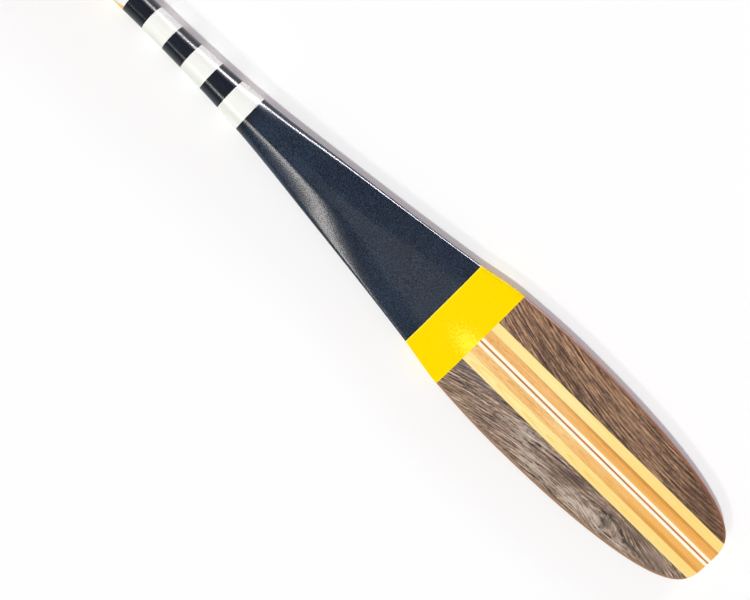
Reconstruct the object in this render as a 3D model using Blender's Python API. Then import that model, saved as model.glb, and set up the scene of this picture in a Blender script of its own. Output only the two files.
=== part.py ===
"""A laminated wooden canoe paddle.

It is modelled the way it is made: boards are glued side by side on edge, and the blank is
carved to one form. Each board is an object of its own, a plain box that the carved form cuts.
The paddle lies face up along X, the grip at -X and the blade's tip at +X. Y is the width,
and the floor is z = 0.
"""

import math

import bmesh
import bpy

# Lengths along the paddle, in metres
OVERALL_LENGTH = 1.473

# Blade outline, from the tip back to the shaft: lengths and full widths
TIP_LENGTH = 0.240
BLADE_WIDTH = 0.1344
SHOULDER_LENGTH = 0.094
SHOULDER_WIDTH = 0.1254
FLARE_LENGTH = 0.056
FLARE_WIDTH = 0.1070
THROAT_LENGTH = 0.158
THROAT_WIDTH = 0.0652
NECK_LENGTH = 0.107
NECK_WIDTH = 0.0404
RUNOUT_LENGTH = 0.053
RUNOUT_WIDTH = 0.0332
SHAFT_TAPER_LENGTH = 0.084
TIP_FULLNESS_ALONG = 2.2
TIP_FULLNESS_ACROSS = 3.57

# Grip outline, from its end down to the shaft: lengths and full widths
CROWN_LENGTH = 0.020
GRIP_WIDTH = 0.1070
CORNER_LENGTH = 0.014
CORNER_WIDTH = 0.1016
PALM_LENGTH = 0.050
PALM_WIDTH = 0.0512
GRIP_NECK_LENGTH = 0.023
GRIP_NECK_WIDTH = 0.0380
GRIP_RUNOUT_LENGTH = 0.026
GRIP_RUNOUT_WIDTH = 0.0324
GRIP_TAPER_LENGTH = 0.043
CROWN_FULLNESS_ALONG = 2.1
CROWN_FULLNESS_ACROSS = 3.0

# Thicknesses
SHAFT_WIDTH = 0.0286
SHAFT_DEPTH = 0.0320
BLADE_THICKNESS = 0.0090
BLADE_EDGE_THICKNESS = 0.0046
BLADE_EDGE_ROUNDING = 0.0024
BLADE_BEVEL_WIDTH = 0.0300
BLADE_BEVEL_FULLNESS = 2.0
BLADE_FLAT_LENGTH = 0.300
ROOT_RISE_LENGTH = 0.140
ROOT_THICKNESS = 0.0120
ROOT_EDGE_THICKNESS = 0.0050
THROAT_RISE_LENGTH = 0.106
THROAT_THICKNESS = 0.0235
THROAT_EDGE_THICKNESS = 0.0056
THROAT_EDGE_ROUNDING = 0.0036
THROAT_BEVEL_FULLNESS = 1.2
NECK_RISE_LENGTH = 0.109
NECK_THICKNESS = 0.0285
NECK_EDGE_THICKNESS = 0.0120
NECK_EDGE_ROUNDING = 0.0060
NECK_BLEND_LENGTH = 0.100
SHAFT_RISE_LENGTH = 0.105
PALM_THICKNESS = 0.0270
HOLLOW_DISTANCE = 0.038
HOLLOW_THICKNESS = 0.0220
GRIP_NECK_DISTANCE = 0.050
GRIP_NECK_THICKNESS = 0.0280
GRIP_ROUND_DISTANCE = 0.066
GRIP_SQUARENESS = 2.6

# Boards, each by its thickness across the paddle
CENTER_STRIP = 0.0020
PINSTRIPE = 0.0033
STAVE = 0.0109
BASSWOOD_STRIP = 0.0106
GRIP_LINE = 0.0018
GRIP_BLOCK = 0.0112
SCARF_FROM_TIP = 0.560
SCARF_RATIO = 8.0
GLUE_LINE = 0.0003

# Painted bands
BARE_BLADE = 0.3336
YELLOW_BAND = 0.0528
NAVY_THROAT = 0.2682
THROAT_WHITE_BAND = 0.0272
THROAT_NAVY_BAND = 0.0253
THROAT_BAND_PAIRS = 3
GRIP_TO_BAND = 0.1765
GRIP_WHITE_BAND = 0.0275
GRIP_NAVY_BAND = 0.0238

# How finely the form is cut
QUARTER_STEPS = 6
TIP_ANGLES = (0, 3, 8, 15, 24, 34, 45, 57, 68, 79, 90)
CROWN_ANGLES = (0, 6, 14, 24, 36, 50, 66, 90)
CURVE_STEP = 0.030
SHAFT_STEP = 0.200
LEAST_STEP = 0.004
TIP_FAN_REACH = 0.045
CROWN_FAN_REACH = 0.024
BOARD_OVERHANG = 0.010
SHARP_DEGREES = 40

WOOD, NAVY, WHITE, YELLOW = range(4)
PAINTS = {
    NAVY: ("navy_paint", (31, 41, 54), 0.42),
    WHITE: ("white_paint", (244, 243, 239), 0.35),
    YELLOW: ("yellow_paint", (254, 219, 8), 0.38),
}
WOODS = {
    "center_strip": ((176, 104, 46), 0.45),
    "maple": ((252, 240, 205), 0.45),
    "shaft_walnut": ((112, 62, 44), 0.40),
    "cherry": ((232, 172, 98), 0.45),
    "basswood": ((250, 216, 138), 0.45),
    "blade_walnut": ((112, 91, 76), 0.50),
    "grip_line": ((122, 70, 42), 0.45),
    "grip_block": ((240, 186, 80), 0.42),
    "grip_walnut": ((140, 98, 66), 0.42),
}


def monotone(stations):
    """A smooth curve through (distance, value) stations, level at both ends and never overshooting."""
    gaps = [b[0] - a[0] for a, b in zip(stations, stations[1:])]
    rises = [(b[1] - a[1]) / gap for a, b, gap in zip(stations, stations[1:], gaps)]
    slopes = [0.0]
    for before, after, rise_before, rise_after in zip(gaps, gaps[1:], rises, rises[1:]):
        if rise_before * rise_after <= 0:
            slopes.append(0.0)
            continue
        near, far = 2 * after + before, after + 2 * before
        slopes.append((near + far) / (near / rise_before + far / rise_after))
    slopes.append(0.0)

    def value(distance):
        if distance <= stations[0][0]:
            return stations[0][1]
        for index, gap in enumerate(gaps):
            start, end = stations[index], stations[index + 1]
            if distance < end[0]:
                t = (distance - start[0]) / gap
                ease = t * t * (3 - 2 * t)
                leave = t * (1 - t) ** 2 * gap * slopes[index]
                arrive = t * t * (t - 1) * gap * slopes[index + 1]
                return start[1] + (end[1] - start[1]) * ease + leave + arrive
        return stations[-1][1]

    return value


def running(start, steps):
    """Stations from (length, value) steps, each measured on from the one before."""
    stations = [start]
    for length, value in steps:
        stations.append((stations[-1][0] + length, value))
    return stations


BLADE_STATIONS = running(
    (TIP_LENGTH, BLADE_WIDTH / 2),
    (
        (SHOULDER_LENGTH, SHOULDER_WIDTH / 2),
        (FLARE_LENGTH, FLARE_WIDTH / 2),
        (THROAT_LENGTH, THROAT_WIDTH / 2),
        (NECK_LENGTH, NECK_WIDTH / 2),
        (RUNOUT_LENGTH, RUNOUT_WIDTH / 2),
        (SHAFT_TAPER_LENGTH, SHAFT_WIDTH / 2),
    ),
)
GRIP_STATIONS = running(
    (CROWN_LENGTH, GRIP_WIDTH / 2),
    (
        (CORNER_LENGTH, CORNER_WIDTH / 2),
        (PALM_LENGTH, PALM_WIDTH / 2),
        (GRIP_NECK_LENGTH, GRIP_NECK_WIDTH / 2),
        (GRIP_RUNOUT_LENGTH, GRIP_RUNOUT_WIDTH / 2),
        (GRIP_TAPER_LENGTH, SHAFT_WIDTH / 2),
    ),
)
BLADE_DEPTHS = running(
    (BLADE_FLAT_LENGTH, BLADE_THICKNESS / 2),
    (
        (ROOT_RISE_LENGTH, ROOT_THICKNESS / 2),
        (THROAT_RISE_LENGTH, THROAT_THICKNESS / 2),
        (NECK_RISE_LENGTH, NECK_THICKNESS / 2),
        (SHAFT_RISE_LENGTH, SHAFT_DEPTH / 2),
    ),
)
GRIP_DEPTHS = running(
    (CROWN_LENGTH, PALM_THICKNESS / 2),
    (
        (HOLLOW_DISTANCE, HOLLOW_THICKNESS / 2),
        (GRIP_NECK_DISTANCE, GRIP_NECK_THICKNESS / 2),
        (GRIP_ROUND_DISTANCE, SHAFT_DEPTH / 2),
    ),
)
blade_half_width = monotone(BLADE_STATIONS)
grip_half_width = monotone(GRIP_STATIONS)
blade_half_depth = monotone(BLADE_DEPTHS)
grip_half_depth = monotone(GRIP_DEPTHS)
FLAT_END, ROOT_END, THROAT_END, NECK_END = (distance for distance, _ in BLADE_DEPTHS[:4])
blade_half_edge = monotone(
    [
        (FLAT_END, BLADE_EDGE_THICKNESS / 2),
        (ROOT_END, ROOT_EDGE_THICKNESS / 2),
        (THROAT_END, THROAT_EDGE_THICKNESS / 2),
        (NECK_END, NECK_EDGE_THICKNESS / 2),
    ]
)
edge_rounding = monotone(
    [(ROOT_END, BLADE_EDGE_ROUNDING), (THROAT_END, THROAT_EDGE_ROUNDING), (NECK_END, NECK_EDGE_ROUNDING)]
)
bevel_fullness = monotone([(ROOT_END, BLADE_BEVEL_FULLNESS), (THROAT_END, THROAT_BEVEL_FULLNESS)])
blade_share = monotone(
    [(NECK_END - NECK_BLEND_LENGTH / 2, 1.0), (NECK_END + NECK_BLEND_LENGTH / 2, 0.0)]
)
grip_squareness = monotone([(GRIP_DEPTHS[1][0], GRIP_SQUARENESS), (GRIP_DEPTHS[-1][0], 2.0)])
MIDDLE_FROM_TIP = (BLADE_STATIONS[-1][0] + OVERALL_LENGTH - GRIP_STATIONS[-1][0]) / 2
AXIS_HEIGHT = max(SHAFT_DEPTH, PALM_THICKNESS, BLADE_THICKNESS) / 2


def half_width(from_tip):
    """Half the outline's width between the two rounded ends."""
    if from_tip < MIDDLE_FROM_TIP:
        return blade_half_width(from_tip)
    return grip_half_width(OVERALL_LENGTH - from_tip)


def half_depth(from_tip):
    """Half the thickness at the middle of the paddle."""
    if from_tip < MIDDLE_FROM_TIP:
        return blade_half_depth(from_tip)
    return grip_half_depth(OVERALL_LENGTH - from_tip)


def rounded_end(length, widest, along, across, angles):
    """Outline from the middle of an end to its widest place: (distance from the end, half width)."""
    points = []
    for degrees in angles:
        turn = math.radians(degrees)
        distance = length * (1 - max(math.cos(turn), 0.0) ** (2 / along))
        points.append((distance, widest * math.sin(turn) ** (2 / across)))
    return points


def paint_bands():
    """(distance from the tip where a finish starts, finish), from the tip to the grip."""
    lengths = [(WOOD, BARE_BLADE), (YELLOW, YELLOW_BAND), (NAVY, NAVY_THROAT)]
    lengths += [(WHITE, THROAT_WHITE_BAND), (NAVY, THROAT_NAVY_BAND)] * THROAT_BAND_PAIRS
    lengths.append((WHITE, THROAT_WHITE_BAND))
    bands, reached = [], 0.0
    for finish, length in lengths:
        bands.append((reached, finish))
        reached += length
    bands.append((reached, WOOD))
    reached = OVERALL_LENGTH - GRIP_TO_BAND - 2 * GRIP_WHITE_BAND - GRIP_NAVY_BAND
    for finish, length in ((WHITE, GRIP_WHITE_BAND), (NAVY, GRIP_NAVY_BAND), (WHITE, GRIP_WHITE_BAND)):
        bands.append((reached, finish))
        reached += length
    bands.append((reached, WOOD))
    return bands


BANDS = paint_bands()


def finish_at(from_tip):
    """The finish that shows at a distance from the tip."""
    return [finish for start, finish in BANDS if start <= from_tip][-1]


def side_distances():
    """Where the long sides are cut across: every band's edge, and steps between them."""
    first, last = TIP_LENGTH, OVERALL_LENGTH - CROWN_LENGTH
    marks = [start for start, _ in BANDS if first + LEAST_STEP < start < last - LEAST_STEP]
    wanted = [distance for distance, _ in BLADE_STATIONS[1:] + BLADE_DEPTHS]
    wanted += [OVERALL_LENGTH - distance for distance, _ in GRIP_STATIONS[1:] + GRIP_DEPTHS]
    for distance in sorted(wanted):
        if first < distance < last and all(abs(distance - mark) > LEAST_STEP for mark in marks):
            marks.append(distance)
    marks = [first] + sorted(marks) + [last]
    distances = []
    for start, end in zip(marks, marks[1:]):
        on_shaft = start >= BLADE_STATIONS[-1][0] and end <= OVERALL_LENGTH - GRIP_STATIONS[-1][0]
        parts = math.ceil((end - start) / (SHAFT_STEP if on_shaft else CURVE_STEP))
        distances += [start + (end - start) * part / parts for part in range(parts)]
    return distances[1:]


def spine_distance(distance, reach):
    """Where a ray from the outline meets the middle: square to it on the sides, fanned at an end."""
    return distance if distance >= 2 * reach else reach + distance**2 / (4 * reach)


def outline_rays():
    """(distance from the tip, half width, distance where the ray meets the middle), tip to grip."""
    tip = rounded_end(
        TIP_LENGTH, BLADE_WIDTH / 2, TIP_FULLNESS_ALONG, TIP_FULLNESS_ACROSS, TIP_ANGLES
    )
    crown = rounded_end(
        CROWN_LENGTH, GRIP_WIDTH / 2, CROWN_FULLNESS_ALONG, CROWN_FULLNESS_ACROSS, CROWN_ANGLES
    )
    outline = tip + [(distance, half_width(distance)) for distance in side_distances()]
    outline += [(OVERALL_LENGTH - distance, width) for distance, width in reversed(crown)]
    rays = []
    for distance, width in outline:
        if distance < MIDDLE_FROM_TIP:
            spine = spine_distance(distance, TIP_FAN_REACH)
        else:
            spine = OVERALL_LENGTH - spine_distance(OVERALL_LENGTH - distance, CROWN_FAN_REACH)
        rays.append((distance, width, spine))
    return rays


def round_section(share, reach, squareness):
    """(distance in, height) on a quarter of a rounded section, as shares of its reach and depth."""
    turn = share * math.pi / 2
    power = 2 / squareness
    return reach * (1 - max(math.cos(turn), 0.0) ** power), math.sin(turn) ** power


def blade_section(share, reach, from_tip):
    """(distance in, height) on a quarter of the blade's section: rounded edge, bevel, flat.

    The bevel rises from the outline on, over the rounded edge too, so that no valley lies between
    them. In the throat it is nearly straight, which leaves a ridge along the middle.
    """
    depth = half_depth(from_tip)
    edge = min(blade_half_edge(from_tip), depth)
    bevel_end = min(BLADE_BEVEL_WIDTH, 0.8 * reach)
    rounding = min(edge_rounding(from_tip), bevel_end / 2)
    edge_height = edge
    if share <= 1 / 3:
        turn = share * 3 * math.pi / 2
        inward, edge_height = rounding * (1 - math.cos(turn)), edge * math.sin(turn)
    elif share <= 5 / 6:
        inward = rounding + (bevel_end - rounding) * (share - 1 / 3) * 2
    else:
        inward = bevel_end + (reach - bevel_end) * (share - 5 / 6) * 6
    left = max(1 - inward / bevel_end, 0.0)
    return inward, edge_height + (depth - edge) * (1 - left ** bevel_fullness(from_tip))


def ray_points(distance, width, spine, steps):
    """The upper surface along one ray, from the outline in to the middle."""
    reach = math.hypot(distance - spine, width)
    from_grip = OVERALL_LENGTH - distance
    flat_share = blade_share(distance) if distance < MIDDLE_FROM_TIP else 0.0
    squareness = 2.0 if distance < MIDDLE_FROM_TIP else grip_squareness(from_grip)
    points = []
    for step in range(steps + 1):
        share = step / steps
        round_in, round_height = round_section(share, reach, squareness)
        flat_in, _ = blade_section(share, reach, distance)
        inward = round_in + (flat_in - round_in) * flat_share
        along = distance + (spine - distance) * inward / reach
        _, flat_height = blade_section(share, reach, along)
        height = half_depth(along) * round_height * (1 - flat_share) + flat_height * flat_share
        across = 0.0 if step == steps else width * (1 - inward / reach)
        points.append((OVERALL_LENGTH / 2 - along, across, height))
    return points


def carved_form(collection):
    """The whole paddle's surface as one closed mesh, which cuts every board."""
    mesh = bmesh.new()
    corners = {}

    def corner(point):
        key = tuple(round(value, 7) for value in point)
        if key not in corners:
            corners[key] = mesh.verts.new((point[0], point[1], AXIS_HEIGHT + point[2]))
        return corners[key]

    rays = outline_rays()
    rows = [ray_points(*ray, QUARTER_STEPS) for ray in rays]
    for index, (near, far) in enumerate(zip(rows, rows[1:])):
        finish = finish_at((rays[index][0] + rays[index + 1][0]) / 2)
        for side in (1, -1):
            for up in (1, -1):
                turned = [[corner((x, side * y, up * z)) for x, y, z in row] for row in (near, far)]
                for step in range(QUARTER_STEPS):
                    loop = [turned[0][step], turned[0][step + 1], turned[1][step + 1], turned[1][step]]
                    loop = list(dict.fromkeys(loop))
                    face = mesh.faces.new(loop if side * up > 0 else loop[::-1])
                    face.material_index = finish
    bmesh.ops.triangulate(mesh, faces=mesh.faces)
    bmesh.ops.recalc_face_normals(mesh, faces=mesh.faces)
    return mesh_object("carved_form", mesh, collection)


def mesh_object(name, mesh, collection):
    """A new object that holds a finished bmesh."""
    data = bpy.data.meshes.new(name)
    mesh.to_mesh(data)
    mesh.free()
    item = bpy.data.objects.new(name, data)
    collection.objects.link(item)
    return item


def material(name, rgb, roughness):
    """A Principled material from a colour written as 0 to 255."""
    made = bpy.data.materials.new(name)
    made.use_nodes = True
    shader = made.node_tree.nodes["Principled BSDF"]
    linear = [
        (c / 255 / 12.92) if c / 255 <= 0.04045 else ((c / 255 + 0.055) / 1.055) ** 2.4 for c in rgb
    ]
    shader.inputs["Base Color"].default_value = (*linear, 1.0)
    shader.inputs["Roughness"].default_value = roughness
    shader.inputs["Metallic"].default_value = 0.0
    made.diffuse_color = (*linear, 1.0)
    return made


def board(name, wood, inner, outer, tip_end, grip_end, form, finishes, collection):
    """A board on edge, cut to the carved form.

    inner and outer are its sides' distances from the middle. tip_end and grip_end are each
    (distance from the tip at the inner side, and at the outer side), so a scarf can slant.
    """
    mesh = bmesh.new()
    bmesh.ops.create_cube(mesh, size=1.0)
    top = AXIS_HEIGHT * 2 + BOARD_OVERHANG
    for vertex in mesh.verts:
        at_outer = (vertex.co.y > 0) == (abs(outer) > abs(inner) and outer > inner)
        ends = tip_end if vertex.co.x > 0 else grip_end
        vertex.co.x = OVERALL_LENGTH / 2 - ends[1 if at_outer else 0]
        vertex.co.y = outer if at_outer else inner
        vertex.co.z = top if vertex.co.z > 0 else -BOARD_OVERHANG
    bmesh.ops.recalc_face_normals(mesh, faces=mesh.faces)
    item = mesh_object(name, mesh, collection)
    for finish in (finishes[wood], finishes[NAVY], finishes[WHITE], finishes[YELLOW]):
        item.data.materials.append(finish)
    carve = item.modifiers.new("carve", "BOOLEAN")
    carve.operation = "INTERSECT"
    carve.solver = "EXACT"
    carve.material_mode = "INDEX"
    carve.object = form
    return item


def keep_carved(items, parent):
    """Make each board's carved shape its own mesh, smooth on the form and sharp at the glue faces."""
    graph = bpy.context.evaluated_depsgraph_get()
    carved = [bpy.data.meshes.new_from_object(item.evaluated_get(graph)) for item in items]
    for item, data in zip(items, carved):
        item.modifiers.clear()
        item.data = data
        data.shade_smooth()
        data.set_sharp_from_angle(angle=math.radians(SHARP_DEGREES))
        item.parent = parent


def boards(form, finishes, collection):
    """Every board of the glued-up blank, the middle one first."""
    made = []
    tip = (-BOARD_OVERHANG, -BOARD_OVERHANG)
    grip = (OVERALL_LENGTH + BOARD_OVERHANG,) * 2
    middle = (MIDDLE_FROM_TIP, MIDDLE_FROM_TIP)
    pinstripe_in = CENTER_STRIP / 2
    stave_in = pinstripe_in + PINSTRIPE
    stave_out = stave_in + STAVE
    basswood_out = stave_out + BASSWOOD_STRIP
    wing_out = max(basswood_out, BLADE_WIDTH / 2) + BOARD_OVERHANG
    grip_pinstripe_out = stave_out + PINSTRIPE
    line_out = grip_pinstripe_out + GRIP_LINE
    block_out = line_out + GRIP_BLOCK
    cheek_out = max(block_out, GRIP_WIDTH / 2) + BOARD_OVERHANG
    half_scarf = STAVE * SCARF_RATIO / 2
    half_glue = GLUE_LINE / 2 * math.hypot(1.0, SCARF_RATIO)
    scarf = (SCARF_FROM_TIP - half_scarf, SCARF_FROM_TIP + half_scarf)
    scarf_blade_side = tuple(end - half_glue for end in scarf)
    scarf_grip_side = tuple(end + half_glue for end in scarf)
    pieces = (
        ("pinstripe", "maple", pinstripe_in, stave_in, tip, grip),
        ("shaft_stave", "shaft_walnut", stave_in, stave_out, scarf_grip_side, grip),
        ("blade_stave", "cherry", stave_in, stave_out, tip, scarf_blade_side),
        ("blade_strip", "basswood", stave_out, basswood_out, tip, middle),
        ("blade_wing", "blade_walnut", basswood_out, wing_out, tip, middle),
        ("grip_pinstripe", "maple", stave_out, grip_pinstripe_out, middle, grip),
        ("grip_line", "grip_line", grip_pinstripe_out, line_out, middle, grip),
        ("grip_block", "grip_block", line_out, block_out, middle, grip),
        ("grip_cheek", "grip_walnut", block_out, cheek_out, middle, grip),
    )
    strip_limits = (-pinstripe_in, pinstripe_in, tip, grip)
    made.append(board("center_strip", "center_strip", *strip_limits, form, finishes, collection))
    for name, wood, inner, outer, tip_end, grip_end in pieces:
        for side, sign in (("left", 1), ("right", -1)):
            limits = (sign * inner, sign * outer, tip_end, grip_end)
            made.append(board(f"{name}_{side}", wood, *limits, form, finishes, collection))
    return made


def main():
    for item in list(bpy.data.objects):
        bpy.data.objects.remove(item)
    paddle = bpy.data.collections.new("canoe_paddle")
    cutters = bpy.data.collections.new("cutters")
    for collection in (paddle, cutters):
        bpy.context.scene.collection.children.link(collection)
    finishes = {finish: material(*made) for finish, made in PAINTS.items()}
    finishes.update({wood: material(wood, *look) for wood, look in WOODS.items()})
    form = carved_form(cutters)
    form.hide_render = True
    form.display_type = "WIRE"
    frame = bpy.data.objects.new("paddle_frame", None)
    paddle.objects.link(frame)
    keep_carved(boards(form, finishes, paddle), frame)


main()
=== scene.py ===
"""A laminated wooden canoe paddle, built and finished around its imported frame.

The paddle lies face up along X on the floor at z = 0, the grip at -X and the blade's tip at +X.
Its boards are glued side by side on edge and carved to one form, so each piece here is the part
of that form between the board's own glue faces. The woods are solid: rings, fibres and pores run
through each board and show on whatever face the carving leaves. Lengths are metres.
"""

import logging
import math
from dataclasses import dataclass, field, replace
from enum import Enum
from typing import Mapping, Sequence, Union

import bmesh
import bpy
from mathutils import Matrix, Vector


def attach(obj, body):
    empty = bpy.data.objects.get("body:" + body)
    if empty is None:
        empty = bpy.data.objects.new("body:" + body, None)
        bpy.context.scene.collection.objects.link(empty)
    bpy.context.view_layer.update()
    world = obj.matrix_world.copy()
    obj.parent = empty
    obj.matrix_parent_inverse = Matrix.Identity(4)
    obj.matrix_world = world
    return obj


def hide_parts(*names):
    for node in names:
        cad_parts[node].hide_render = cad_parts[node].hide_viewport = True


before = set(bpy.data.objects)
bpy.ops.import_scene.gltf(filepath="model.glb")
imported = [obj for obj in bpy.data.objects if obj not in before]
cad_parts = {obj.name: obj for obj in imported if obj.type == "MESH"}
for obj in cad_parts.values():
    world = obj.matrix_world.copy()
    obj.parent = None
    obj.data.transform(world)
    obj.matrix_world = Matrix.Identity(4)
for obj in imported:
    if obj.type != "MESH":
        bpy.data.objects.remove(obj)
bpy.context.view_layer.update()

BODY = "root"
IMAGE_WIDTH = 750
PLAIN_WHITE = (1.0, 1.0, 1.0, 1.0)
log = logging.getLogger("paddle")

Tint = tuple[int, int, int]
Number = Union[float, "Wire"]


class Finish(Enum):
    """What covers a stretch of the paddle. The value is the board's material slot."""

    WOOD = 0
    NAVY = 1
    WHITE = 2
    YELLOW = 3


class Side(Enum):
    """The two halves of the paddle. The value is the sign of Y there."""

    LEFT = 1
    RIGHT = -1

    def suffix(self) -> str:
        """The end of the names of the boards on this side."""
        return self.name.lower()


class Wood(Enum):
    """The woods of the paddle. The value is the record's material slot."""

    CENTER = "center_strip"
    MAPLE = "maple"
    SHAFT_WALNUT = "shaft_walnut"
    CHERRY = "cherry"
    BASSWOOD = "basswood"
    BLADE_WALNUT = "blade_walnut"
    GRIP_LINE = "grip_line"
    GRIP_BLOCK = "grip_block"
    GRIP_WALNUT = "grip_walnut"


def linear(tint: Tint) -> tuple[float, float, float, float]:
    """Turn a colour written as 0 to 255 into the shader's own numbers.

    Args:
        tint: Red, green and blue as an image holds them.

    Returns:
        Linear red, green and blue, and full opacity.
    """
    parts = []
    for level in tint:
        share = level / 255
        parts.append(share / 12.92 if share <= 0.04045 else ((share + 0.055) / 1.055) ** 2.4)
    return (parts[0], parts[1], parts[2], 1.0)


@dataclass(frozen=True)
class Curve:
    """A smooth curve through stations, level at both ends and never overshooting.

    Attributes:
        stations: Pairs of a distance and the value there, in order of distance.
    """

    stations: tuple[tuple[float, float], ...]

    @classmethod
    def running(cls, start: tuple[float, float], steps: Sequence[tuple[float, float]]) -> "Curve":
        """Make a curve from steps, each measured on from the one before.

        Args:
            start: The first distance and its value.
            steps: Pairs of a length and the value at its end.

        Returns:
            The curve through all the stations.
        """
        stations = [start]
        for length, value in steps:
            stations.append((stations[-1][0] + length, value))
        return cls(tuple(stations))

    def slopes(self) -> list[float]:
        """Work out the slopes that keep the curve from overshooting.

        Returns:
            One slope for each station.
        """
        gaps = [b[0] - a[0] for a, b in zip(self.stations, self.stations[1:])]
        rises = [(b[1] - a[1]) / gap for a, b, gap in zip(self.stations, self.stations[1:], gaps)]
        slopes = [0.0]
        for before, after, rise_before, rise_after in zip(gaps, gaps[1:], rises, rises[1:]):
            if rise_before * rise_after <= 0:
                slopes.append(0.0)
                continue
            near, far = 2 * after + before, after + 2 * before
            slopes.append((near + far) / (near / rise_before + far / rise_after))
        slopes.append(0.0)
        return slopes

    def __call__(self, distance: float) -> float:
        """Read the curve, which is held level beyond both ends.

        Args:
            distance: Where to read it.

        Returns:
            The value there.
        """
        if distance <= self.stations[0][0]:
            return self.stations[0][1]
        slopes = self.slopes()
        for index, (start, end) in enumerate(zip(self.stations, self.stations[1:])):
            if distance < end[0]:
                gap = end[0] - start[0]
                t = (distance - start[0]) / gap
                ease = t * t * (3 - 2 * t)
                leave = t * (1 - t) ** 2 * gap * slopes[index]
                arrive = t * t * (t - 1) * gap * slopes[index + 1]
                return start[1] + (end[1] - start[1]) * ease + leave + arrive
        return self.stations[-1][1]


@dataclass(frozen=True)
class RoundedEnd:
    """The outline of the blade's tip or the grip's crown, a quarter of a squarish oval.

    Attributes:
        length: From the very end to the widest place.
        widest: Half the width there.
        along: How full the curve is along the paddle.
        across: How full it is across the paddle.
        steps: How many places its outline is cut at.
        crowding: How much closer together those places are at the very end.
    """

    length: float
    widest: float
    along: float
    across: float
    steps: int
    crowding: float

    def outline(self) -> list[tuple[float, float]]:
        """Cut the outline at its places.

        Returns:
            Pairs of a distance from the end and half the width there, from the end on.
        """
        places = []
        for step in range(self.steps + 1):
            turn = math.pi / 2 * (step / self.steps) ** self.crowding
            distance = self.length * (1 - max(math.cos(turn), 0.0) ** (2 / self.along))
            places.append((distance, self.widest * math.sin(turn) ** (2 / self.across)))
        return places


@dataclass(frozen=True)
class Blank:
    """The glued-up blank: the sizes that every sub-assembly shares.

    Attributes:
        length: Overall length.
        shaft_width: Width of the bare shaft.
        shaft_depth: Depth of the bare shaft.
        center_strip: Thickness of the middle strip across the paddle.
        pinstripe: Thickness of each pale pinstripe.
        stave: Thickness of each stave.
        scarf_from_tip: Where the staves' scarf joint is, at its middle.
        scarf_ratio: Length of the scarf for each unit of its thickness.
    """

    length: float = 1.473
    shaft_width: float = 0.0286
    shaft_depth: float = 0.0320
    center_strip: float = 0.0020
    pinstripe: float = 0.0033
    stave: float = 0.0109
    scarf_from_tip: float = 0.560
    scarf_ratio: float = 8.0

    @property
    def axis_height(self) -> float:
        """Height of the paddle's middle above the floor it lies on."""
        return self.shaft_depth / 2

    @property
    def pinstripe_in(self) -> float:
        """Where the middle strip ends and the pinstripe starts."""
        return self.center_strip / 2

    @property
    def stave_in(self) -> float:
        """Where the pinstripe ends and the stave starts."""
        return self.pinstripe_in + self.pinstripe

    @property
    def stave_out(self) -> float:
        """Where the stave ends."""
        return self.stave_in + self.stave

    def x(self, from_tip: float) -> float:
        """The place along X of a distance from the blade's tip."""
        return self.length / 2 - from_tip


@dataclass(frozen=True)
class Cut:
    """A flat upright face that a board ends at.

    Attributes:
        point: Any point of the face, as x and y.
        out: The direction out of the board, as x and y.
    """

    point: tuple[float, float]
    out: tuple[float, float]

    def origin(self) -> Vector:
        """A point of the face."""
        return Vector((*self.point, 0.0))

    def normal(self) -> Vector:
        """The face's direction out of the board, of length 1."""
        return Vector((*self.out, 0.0)).normalized()


@dataclass(frozen=True)
class Board:
    """One board of the blank.

    Attributes:
        node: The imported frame's node that it stands for.
        wood: What it is made of.
        cuts: The faces that it ends at. The carved form closes it elsewhere.
    """

    node: str
    wood: Wood
    cuts: tuple[Cut, ...]


def glue_faces(side: Side, inner: float, outer: float | None) -> tuple[Cut, ...]:
    """The long faces of a board on one side of the paddle.

    Args:
        side: Which half the board is in.
        inner: Its inner face's distance from the middle.
        outer: Its outer face's distance from the middle, or None where the outline ends it.

    Returns:
        One cut, or two.
    """
    sign = side.value
    cuts = [Cut((0.0, sign * inner), (0.0, -sign))]
    if outer is not None:
        cuts.append(Cut((0.0, sign * outer), (0.0, sign)))
    return tuple(cuts)


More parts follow.
